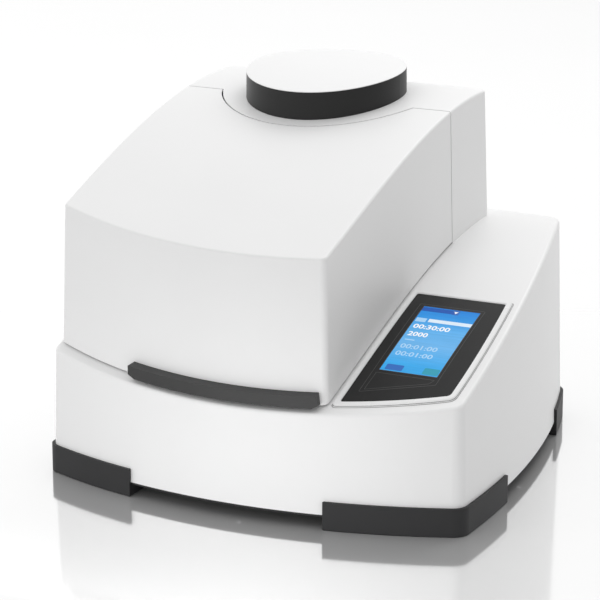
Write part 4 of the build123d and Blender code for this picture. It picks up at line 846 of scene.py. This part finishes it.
@dataclass
class DisplayPicture:
    """What the lit display shows: bars, touch keys and plain digits.

    Attributes:
        low: The display's lowest corner.
        high: The display's highest corner.
        above: How far over the display a flat piece starts.
        rise: How far a piece ends above the display.
        arrow_rise: How far the arrow ends above the display, over its key.
        thick: Thickness of the pieces.
        digit_height: Height of the digits.
        key_steps: Number of steps in a key's rounded corner.
        arrow_middle: Share of the picture's width at the arrow.
        arrow_down: Shares of the picture's length at the arrow's back and tip.
        arrow_half: Half the arrow's width at its back.
        arrow_tip: Half the arrow's width at its tip.
        areas: The bars and keys.
        lines: The lines of digits.
    """

    low: Vector = field(default_factory=lambda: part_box("display_window")[0])
    high: Vector = field(default_factory=lambda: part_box("display_window")[1])
    above: float = 0.01
    rise: float = 0.0001
    arrow_rise: float = 0.0002
    thick: float = 0.0004
    digit_height: float = 0.0095
    key_steps: int = 3
    arrow_middle: float = 0.6
    arrow_down: Span = (0.03, 0.062)
    arrow_half: float = 0.003
    arrow_tip: float = 0.0002
    areas: tuple[LitArea, ...] = (
        LitArea("display_top_bar", DISPLAY_DEEP, (0.0, 0.62), (0.012, 0.072)),
        LitArea("display_arrow_key", DISPLAY_KEY, (0.54, 0.66), (0.006, 0.08), corner=0.001),
        LitArea("display_band", DISPLAY_BAND, (0.24, 1.0), (0.185, 0.235)),
        LitArea("display_band_tab", DISPLAY_PALE, (0.02, 0.2), (0.185, 0.245)),
        LitArea("display_line_mark", DISPLAY_PALE, (0.07, 0.24), (0.522, 0.536)),
        LitArea("display_key_left", DISPLAY_KEY, (0.07, 0.37), (0.905, 0.985), corner=0.002),
        LitArea("display_key_right", DISPLAY_TEAL, (0.72, 0.99), (0.895, 0.985), corner=0.002),
    )
    lines: tuple[LitLine, ...] = (
        LitLine("display_time", "00:30:00", DISPLAY_WHITE, (0.055, 0.70), 0.315),
        LitLine("display_speed", "2000", DISPLAY_WHITE, (0.055, 0.40), 0.435),
        LitLine("display_time_high", "00:01:00", DISPLAY_PALE, (0.07, 0.72), 0.625),
        LitLine("display_time_low", "00:01:00", DISPLAY_PALE, (0.07, 0.72), 0.735),
    )

    def across(self, share: float) -> float:
        """X at a share of the picture's width."""
        return self.low.x + (self.high.x - self.low.x) * share

    def down(self, share: float) -> float:
        """Y at a share of the picture's length, from its top."""
        return self.high.y - (self.high.y - self.low.y) * share

    @staticmethod
    def keep_glow_in(thing: bpy.types.Object) -> None:
        """Keep a lit piece's light off the hood beside it, where studio light outshines it."""
        thing.visible_diffuse = False
        thing.visible_glossy = False

    def lay(self, piece: Piece, finish: Glow, rise: float) -> None:
        """Lay a flat piece on the display's face and finish it.

        Args:
            piece: The flat piece above the display.
            finish: Its glow.
            rise: How far it ends above the display.
        """
        piece.press_on("display_window", rise, self.thick)
        piece.finish("base", finish, "display")
        self.keep_glow_in(piece.thing)

    def build_areas(self) -> None:
        """Make the bars and the touch keys."""
        for area in self.areas:
            left, right = (self.across(share) for share in area.across)
            back, front = (self.down(share) for share in area.down)
            corners = [(left, front), (right, front), (right, back), (left, back)]
            piece = Piece.sheet(area.name, corners, self.high.z + self.above)
            if area.corner:
                piece.round_corners(area.corner, self.key_steps)
            self.lay(piece, area.finish, self.rise)

    def build_arrow(self) -> None:
        """Make the small arrow on its key."""
        middle = self.across(self.arrow_middle)
        back, tip = (self.down(share) for share in self.arrow_down)
        corners = [(middle - self.arrow_tip, tip), (middle + self.arrow_tip, tip)]
        corners += [(middle + self.arrow_half, back), (middle - self.arrow_half, back)]
        arrow = Piece.sheet("display_arrow", corners, self.high.z + self.above)
        self.lay(arrow, DISPLAY_WHITE, self.arrow_rise)

    def build_lines(self) -> None:
        """Make the lines of digits."""
        for line in self.lines:
            left, right = (self.across(share) for share in line.across)
            start, size = (left, self.down(line.middle)), (right - left, self.digit_height)
            piece = Piece.digits(line.name, line.text, start, size, self.high.z + self.above)
            self.lay(piece, line.finish, self.rise)

    def build(self) -> None:
        """Make the whole picture."""
        self.keep_glow_in(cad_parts["display_window"])
        self.build_areas()
        self.build_arrow()
        self.build_lines()


@dataclass(frozen=True)
class PanelLine:
    """A thin closed line on the panel's glass.

    Attributes:
        name: Name of the piece.
        finish: Its finish.
        corner: Radius of its corners.
        steps: Steps in plan from the display's corners to the line's, anticlockwise from the front left.
        in_front: Whether all its corners are measured from the display's front ones.
    """

    name: str
    finish: Finish
    corner: float
    steps: tuple[Spot, Spot, Spot, Spot]
    in_front: bool = False

    def corners(self, low: Vector, high: Vector) -> list[Spot]:
        """Where the line's corners lie in plan.

        Args:
            low: The display's lowest corner.
            high: The display's highest corner.

        Returns:
            The corners, anticlockwise from the front left.
        """
        back = low.y if self.in_front else high.y
        starts = ((low.x, low.y), (high.x, low.y), (high.x, back), (low.x, back))
        return [(x + right, y + rearwards) for (x, y), (right, rearwards) in zip(starts, self.steps)]


@dataclass
class Console:
    """The touch panel on the right of the hood.

    Attributes:
        above: How far over the display a line starts.
        wide: Width of the lines.
        rise: How far a line ends above the glass.
        thick: Thickness of the lines.
        corner_steps: Number of steps in a line's rounded corner.
        cuts: Cuts of each edge, so that a line follows the glass.
        shade_ring_wide: How far the ring of painted shade shows round the bezel.
        shade_ring_drop: How far the ring of painted shade lies below the bezel's top.
        shade_ring_merge: Distance under which the points of the ring of painted shade are merged.
        lines: The lines on the glass.
        picture: The display's picture.
    """

    above: float = 0.03
    wide: float = 0.0007
    rise: float = 0.00006
    thick: float = 0.0003
    corner_steps: int = 4
    cuts: int = 12
    shade_ring_wide: float = 0.0004
    shade_ring_drop: float = 0.0009
    shade_ring_merge: float = 0.000004
    lines: tuple[PanelLine, ...] = (
        PanelLine(
            "panel_line_outer", PANEL_LINE, 0.002,
            ((-0.0077, -0.0500), (0.0056, -0.0165), (0.0056, 0.0048), (-0.0077, 0.0048)),
        ),
        PanelLine(
            "panel_line_inner", PANEL_LINE, 0.0015,
            ((-0.0025, -0.0440), (-0.0040, -0.0155), (0.0002, -0.0066), (-0.0018, -0.0063)), in_front=True,
        ),
        PanelLine(
            "display_edge", PANEL_EDGE, 0.001,
            ((-0.001, -0.001), (0.001, -0.001), (0.001, 0.001), (-0.001, 0.001)),
        ),
    )
    picture: DisplayPicture = field(default_factory=DisplayPicture)

    def build_line(self, line: PanelLine) -> None:
        """Draw one thin closed line on the glass.

        Args:
            line: The line to draw.
        """
        corners = line.corners(self.picture.low, self.picture.high)
        ring = Piece.sheet(line.name, corners, self.picture.high.z + self.above)
        ring.round_corners(line.corner, self.corner_steps)
        with ring.at_work():
            bpy.ops.mesh.inset(thickness=self.wide)
        inner = max(ring.thing.data.polygons, key=lambda face: len(face.vertices)).index
        with ring.at_work(lambda face: face.index == inner):
            bpy.ops.mesh.delete(type="FACE")
        with ring.at_work():
            bpy.ops.mesh.subdivide(number_cuts=self.cuts)
        ring.press_on("panel_glass", self.rise, self.thick)
        ring.finish("base", line.finish, "black_glass")

    def build_shade_ring(self) -> None:
        """Make the thin dark ring of painted shade round the bezel, from the bezel's own shape."""
        # This ring is painted shade: a dark grey copy of the bezel that stands for the shadow in the gap
        # between the bezel and the deck.
        thing = bpy.data.objects.new("panel_seal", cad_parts["panel_bezel"].data.copy())
        bpy.context.scene.collection.objects.link(thing)
        shade_ring = Piece("panel_seal", thing)
        low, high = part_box("panel_bezel")
        centre, size = (low + high) / 2.0, high - low
        grow = [1.0 + 2.0 * self.shade_ring_wide / size[axis] for axis in (0, 1)]
        thing.scale = (*grow, 1.0)
        thing.location = (centre.x * (1.0 - grow[0]), centre.y * (1.0 - grow[1]), -self.shade_ring_drop)
        shade_ring.settle()
        with shade_ring.at_work():
            bpy.ops.mesh.remove_doubles(threshold=self.shade_ring_merge)
        shade_ring.finish("base", GAP_SHADE_GREY, "rubber")

    def build(self) -> None:
        """Draw the panel's lines, the painted shade round its bezel and the display's picture."""
        for line in self.lines:
            self.build_line(line)
        self.build_shade_ring()
        self.picture.build()


@dataclass
class RearSide:
    """Fittings on the rear: screws of the plates, the grille and the inlet, and the rocker's marks.

    Attributes:
        behind: How far behind the middle a line to a seat starts.
        lap: How far the plates reach behind the wall round them.
        edge: From a shown corner of a plate or the grille to its screw, each way.
        inlet_edge: From the inlet's side to its screw.
        mark_reach: Radius of the ring and half the bar's length.
        mark_thick: Half the width of both marks.
        mark_soft: Rounding of the bar.
        ring_steps: Number of steps round the ring and round its tube.
        plate_screw: Screws of the plates and the grille.
        inlet_screw: Screws of the inlet.
    """

    behind: float = 0.5
    lap: float = 0.006
    edge: float = 0.005
    inlet_edge: float = 0.0034
    mark_reach: float = 0.0021
    mark_thick: float = 0.0003
    mark_soft: float = 0.0001
    ring_steps: tuple[int, int] = (32, 8)
    plate_screw: ScrewSet = ScrewSet()
    inlet_screw: ScrewSet = ScrewSet(radius=0.0021, height=0.0011, socket=0.0011, depth=0.0006, soft=0.0002)

    def from_behind(self, node: str, x: float, z: float) -> Seat:
        """The seat on a node's rear face at a place across and a height."""
        return Seat.met(node, (x, self.behind, z), TO_FRONT)

    def corners(self, node: str, sides: Span, ends: Span) -> list[Seat]:
        """Seats just inside the four corners of an upright rectangle.

        Args:
            node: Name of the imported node.
            sides: X of its two sides.
            ends: Z of its bottom and top.

        Returns:
            The seats.
        """
        return [
            self.from_behind(node, x, z)
            for x in (sides[0] + self.edge, sides[1] - self.edge)
            for z in (ends[0] + self.edge, ends[1] - self.edge)
        ]

    def build_screws(self) -> None:
        """Put screws on the connection plates, the grille and the inlet."""
        low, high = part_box("rear_panel")
        sides, ends = (low.x + self.lap, high.x - self.lap), (low.z + self.lap, high.z - self.lap)
        seam = (sides[0] + sides[1]) / 2.0
        seats = self.corners("rear_panel", (sides[0], seam), ends)
        seats += self.corners("rear_panel", (seam, sides[1]), ends)
        self.plate_screw.fit("plate_screws", seats)
        low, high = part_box("rear_grille")
        seats = self.corners("rear_grille", (low.x, high.x), (low.z, high.z))
        self.plate_screw.fit("grille_screws", seats)
        low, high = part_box("mains_inlet")
        middle = (low.z + high.z) / 2.0
        places = (low.x + self.inlet_edge, high.x - self.inlet_edge)
        self.inlet_screw.fit("inlet_screws", [self.from_behind("mains_inlet", x, middle) for x in places])

    def build_marks(self) -> None:
        """Mark the rocker's on and off ends with a bar and a ring."""
        low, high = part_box("rocker_switch")
        middle, quarter = (low.x + high.x) / 2.0, (high.z - low.z) / 4.0
        Piece.clear()
        bpy.ops.mesh.primitive_torus_add(
            major_radius=self.mark_reach, minor_radius=self.mark_thick,
            major_segments=self.ring_steps[0], minor_segments=self.ring_steps[1],
        )
        ring = Piece("rocker_ring", bpy.context.active_object)
        bar = Piece.block("rocker_bar", (self.mark_thick * 2.0, self.mark_reach * 2.0, self.mark_thick))
        bar.soften(self.mark_soft)
        lower = self.from_behind("rocker_switch", middle, low.z + quarter)
        upper = self.from_behind("rocker_switch", middle, high.z - quarter)
        ring.copy_to("rocker_mark_off", lower).finish("rocker_switch", MARK_WHITE, "black_plastic")
        bar.copy_to("rocker_mark_on", upper).finish("rocker_switch", MARK_WHITE, "black_plastic")
        ring.discard()
        bar.discard()

    def build(self) -> None:
        """Make all the rear side's fittings."""
        self.build_screws()
        self.build_marks()


@dataclass
class Bulkhead:
    """Screws down both sides of the wall behind the hood.

    Attributes:
        edge: From the wall's side to its screws.
        foot: From the wall's bottom to the lowest screws.
        head: From the wall's top to the highest screws.
        count: Number of screws down each side.
        before: Y where a line to a seat starts.
        screw: The screws.
    """

    edge: float = 0.0085
    foot: float = 0.041
    head: float = 0.017
    count: int = 3
    before: float = -0.5
    screw: ScrewSet = ScrewSet(radius=0.0032, height=0.0012, socket=0.0016, depth=0.0007)

    def build(self) -> None:
        """Screw the wall to the tower."""
        low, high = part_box("tower_bulkhead")
        bottom, top = low.z + self.foot, high.z - self.head
        heights = [bottom + (top - bottom) * step / (self.count - 1) for step in range(self.count)]
        sides = (low.x + self.edge, high.x - self.edge)
        starts = [(side, self.before, height) for side in sides for height in heights]
        self.screw.fit("bulkhead_screws", [Seat.met("tower_bulkhead", start, TO_REAR) for start in starts])


@dataclass
class Underside:
    """Screws round the pan that closes the base from below.

    Attributes:
        edge: From the pan's edge to its screws.
        share: Share of the way to the sides at which the front and rear rows end.
        below: Z where a line to a seat starts.
        screw: The screws.
    """

    edge: float = 0.024
    share: float = 0.62
    below: float = -0.3
    screw: ScrewSet = ScrewSet(radius=0.0042, height=0.0022, socket=0.0021, depth=0.0012, soft=0.0004)

    def build(self) -> None:
        """Screw the pan to the base."""
        low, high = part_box("base_pan")
        reach = ((high.x - low.x) / 2.0 - self.edge, (high.y - low.y) / 2.0 - self.edge)
        places = [(side * reach[0] * self.share, end * reach[1]) for side in (-1, 0, 1) for end in (-1, 1)]
        places += [(side * reach[0], 0.0) for side in (-1, 1)]
        self.screw.fit("pan_screws", [Seat.met("base_pan", (x, y, self.below), UP) for x, y in places])


@dataclass
class JarStation:
    """Small parts of one jar's place: the inserts of its two star knobs.

    Attributes:
        side: Which jar, left or right.
        radius: Radius of an insert.
        height: Height of an insert.
        rim: Width of its rim.
        dish: Depth of its dished top.
        soft: Rounding of its edges.
        sides: Number of its sides.
        above: How far over a knob a line to its seat starts.
    """

    side: str
    radius: float = 0.0058
    height: float = 0.0012
    rim: float = 0.00203
    dish: float = 0.00036
    soft: float = 0.00024
    sides: int = 40
    above: float = 0.1

    def model(self) -> Piece:
        """Model one insert round the origin.

        Returns:
            The insert.
        """
        insert = Piece.disc("insert", ORIGIN, self.radius, self.height, self.sides)
        with insert.at_work(looks_up):
            bpy.ops.mesh.inset(thickness=self.rim, depth=-self.dish)
        insert.soften(self.soft)
        return insert

    def build(self) -> None:
        """Put a turned insert in the top of each star knob."""
        model = self.model()
        for end in ("front", "rear"):
            node = f"star_knob_{self.side}_{end}"
            low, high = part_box(node)
            start = ((low.x + high.x) / 2.0, (low.y + high.y) / 2.0, high.z + self.above)
            insert = model.copy_to(f"knob_insert_{self.side}_{end}", Seat.met(node, start, DOWN))
            insert.finish(node, BRIGHT_STEEL, "black_plastic")
        model.discard()


def aim(thing: bpy.types.Object, target: Point) -> None:
    """Turn a light or camera towards a point."""
    way = Vector(target) - thing.location
    thing.rotation_euler = way.to_track_quat("-Z", "Y").to_euler()


@dataclass(frozen=True)
class Lamp:
    """One oblong soft light that faces the machine and is not seen itself.

    Attributes:
        name: Name of the light.
        place: Where it hangs.
        size: Its width and height.
        power: Its power in watts.
        target: The point that it faces.
    """

    name: str
    place: Point
    size: Span
    power: float
    target: Point

    def build(self) -> None:
        """Hang the light."""
        light = bpy.data.lights.new(self.name, "AREA")
        light.shape = "RECTANGLE"
        light.size, light.size_y = self.size
        light.energy = self.power
        lamp = bpy.data.objects.new(self.name, light)
        bpy.context.scene.collection.objects.link(lamp)
        lamp.location = self.place
        lamp.visible_camera = False
        aim(lamp, self.target)


@dataclass
class Studio:
    """Pale glossy floor, soft lights and surroundings, and the camera.

    Attributes:
        camera_place: Where the camera stands.
        camera_target: The point that it looks at.
        lens: Focal length in millimetres.
        sensor: Width of the sensor in millimetres.
        sight: How far the camera sees.
        floor_size: Side of the floor.
        floor_drop: How far the floor lies below the feet.
        floor_colours: The two colours between which it clouds.
        floor_clouds: Fineness of the clouds, per metre.
        floor_detail: How many finer layers they have.
        floor_gloss: How much of a mirror it is.
        floor_roughness: How blurred the mirror is.
        sky: Strength of the surroundings on the right and on the left.
        sky_colour: Their colour.
        lamps: The lights.
    """

    camera_place: Point = (1.6697, -3.5425, 1.3167)
    camera_target: Point = (-0.04836, -0.0074, 0.21326)
    lens: float = 174.3
    sensor: float = 36.0
    sight: float = 80.0
    floor_size: float = 60.0
    floor_drop: float = 0.0002
    floor_colours: tuple[Colour, Colour] = (grey(0.95), grey(0.97))
    floor_clouds: Point = (2.0, 2.0, 2.0)
    floor_detail: float = 3.0
    floor_gloss: float = 0.67
    floor_roughness: float = 0.08
    sky: Span = (0.62, 1.16)
    sky_colour: Colour = grey(1.0)
    lamps: tuple[Lamp, ...] = (
        Lamp("overhead", (0.3, 2.1, 3.1), (2.2, 2.2), 42.0, (0.0, 0.0, 0.25)),
        Lamp("low", (0.03, -0.68, 0.08), (0.62, 0.14), 0.45, (0.02, -0.32, 0.05)),
    )

    def build_floor(self) -> None:
        """Make the pale floor with its mirror gloss."""
        Piece.clear()
        bpy.ops.mesh.primitive_plane_add(size=self.floor_size, location=(0.0, 0.0, -self.floor_drop))
        floor = bpy.context.active_object
        floor.name = "studio_floor"
        board = MaterialBoard("studio_floor")
        cloud = board.noise(self.floor_clouds, self.floor_detail)
        board.lead(board.mix(cloud, *self.floor_colours), "Base Color")
        board.set_plain({"Metallic": self.floor_gloss, "Roughness": self.floor_roughness})
        floor.data.materials.append(board.material)

    def build_sky(self) -> None:
        """Make the soft surroundings, brighter on the left than on the right."""
        world = bpy.data.worlds.new("studio")
        bpy.context.scene.world = world
        world.use_nodes = True
        board = NodeBoard(world.node_tree)
        background = board.tree.nodes["Background"]
        strength = board.ranged(board.coordinate("Generated", "X"), (1.0, -1.0), self.sky)
        board.join(strength, background.inputs["Strength"])
        background.inputs["Color"].default_value = (*self.sky_colour, 1.0)

    def build_camera(self) -> None:
        """Set up the camera at the photograph's angle."""
        camera_data = bpy.data.cameras.new("camera")
        camera_data.lens = self.lens
        camera_data.sensor_width = self.sensor
        camera_data.clip_end = self.sight
        camera = bpy.data.objects.new("camera", camera_data)
        bpy.context.scene.collection.objects.link(camera)
        camera.location = self.camera_place
        aim(camera, self.camera_target)
        bpy.context.scene.camera = camera

    def build(self) -> None:
        """Make the floor, lights, surroundings and camera."""
        self.build_floor()
        for lamp in self.lamps:
            lamp.build()
        self.build_sky()
        self.build_camera()
        bpy.context.scene.view_settings.view_transform = "Standard"
        LOG.info("studio ready")


def main() -> None:
    """Set up the studio, dress the frame and make the new pieces."""
    logging.basicConfig(level=logging.INFO, format="%(message)s")
    Studio().build()
    WARDROBE.dress_frame()
    Console().build()
    RearSide().build()
    Bulkhead().build()
    Underside().build()
    for side in ("left", "right"):
        JarStation(side).build()


if __name__ == "__main__":
    main()
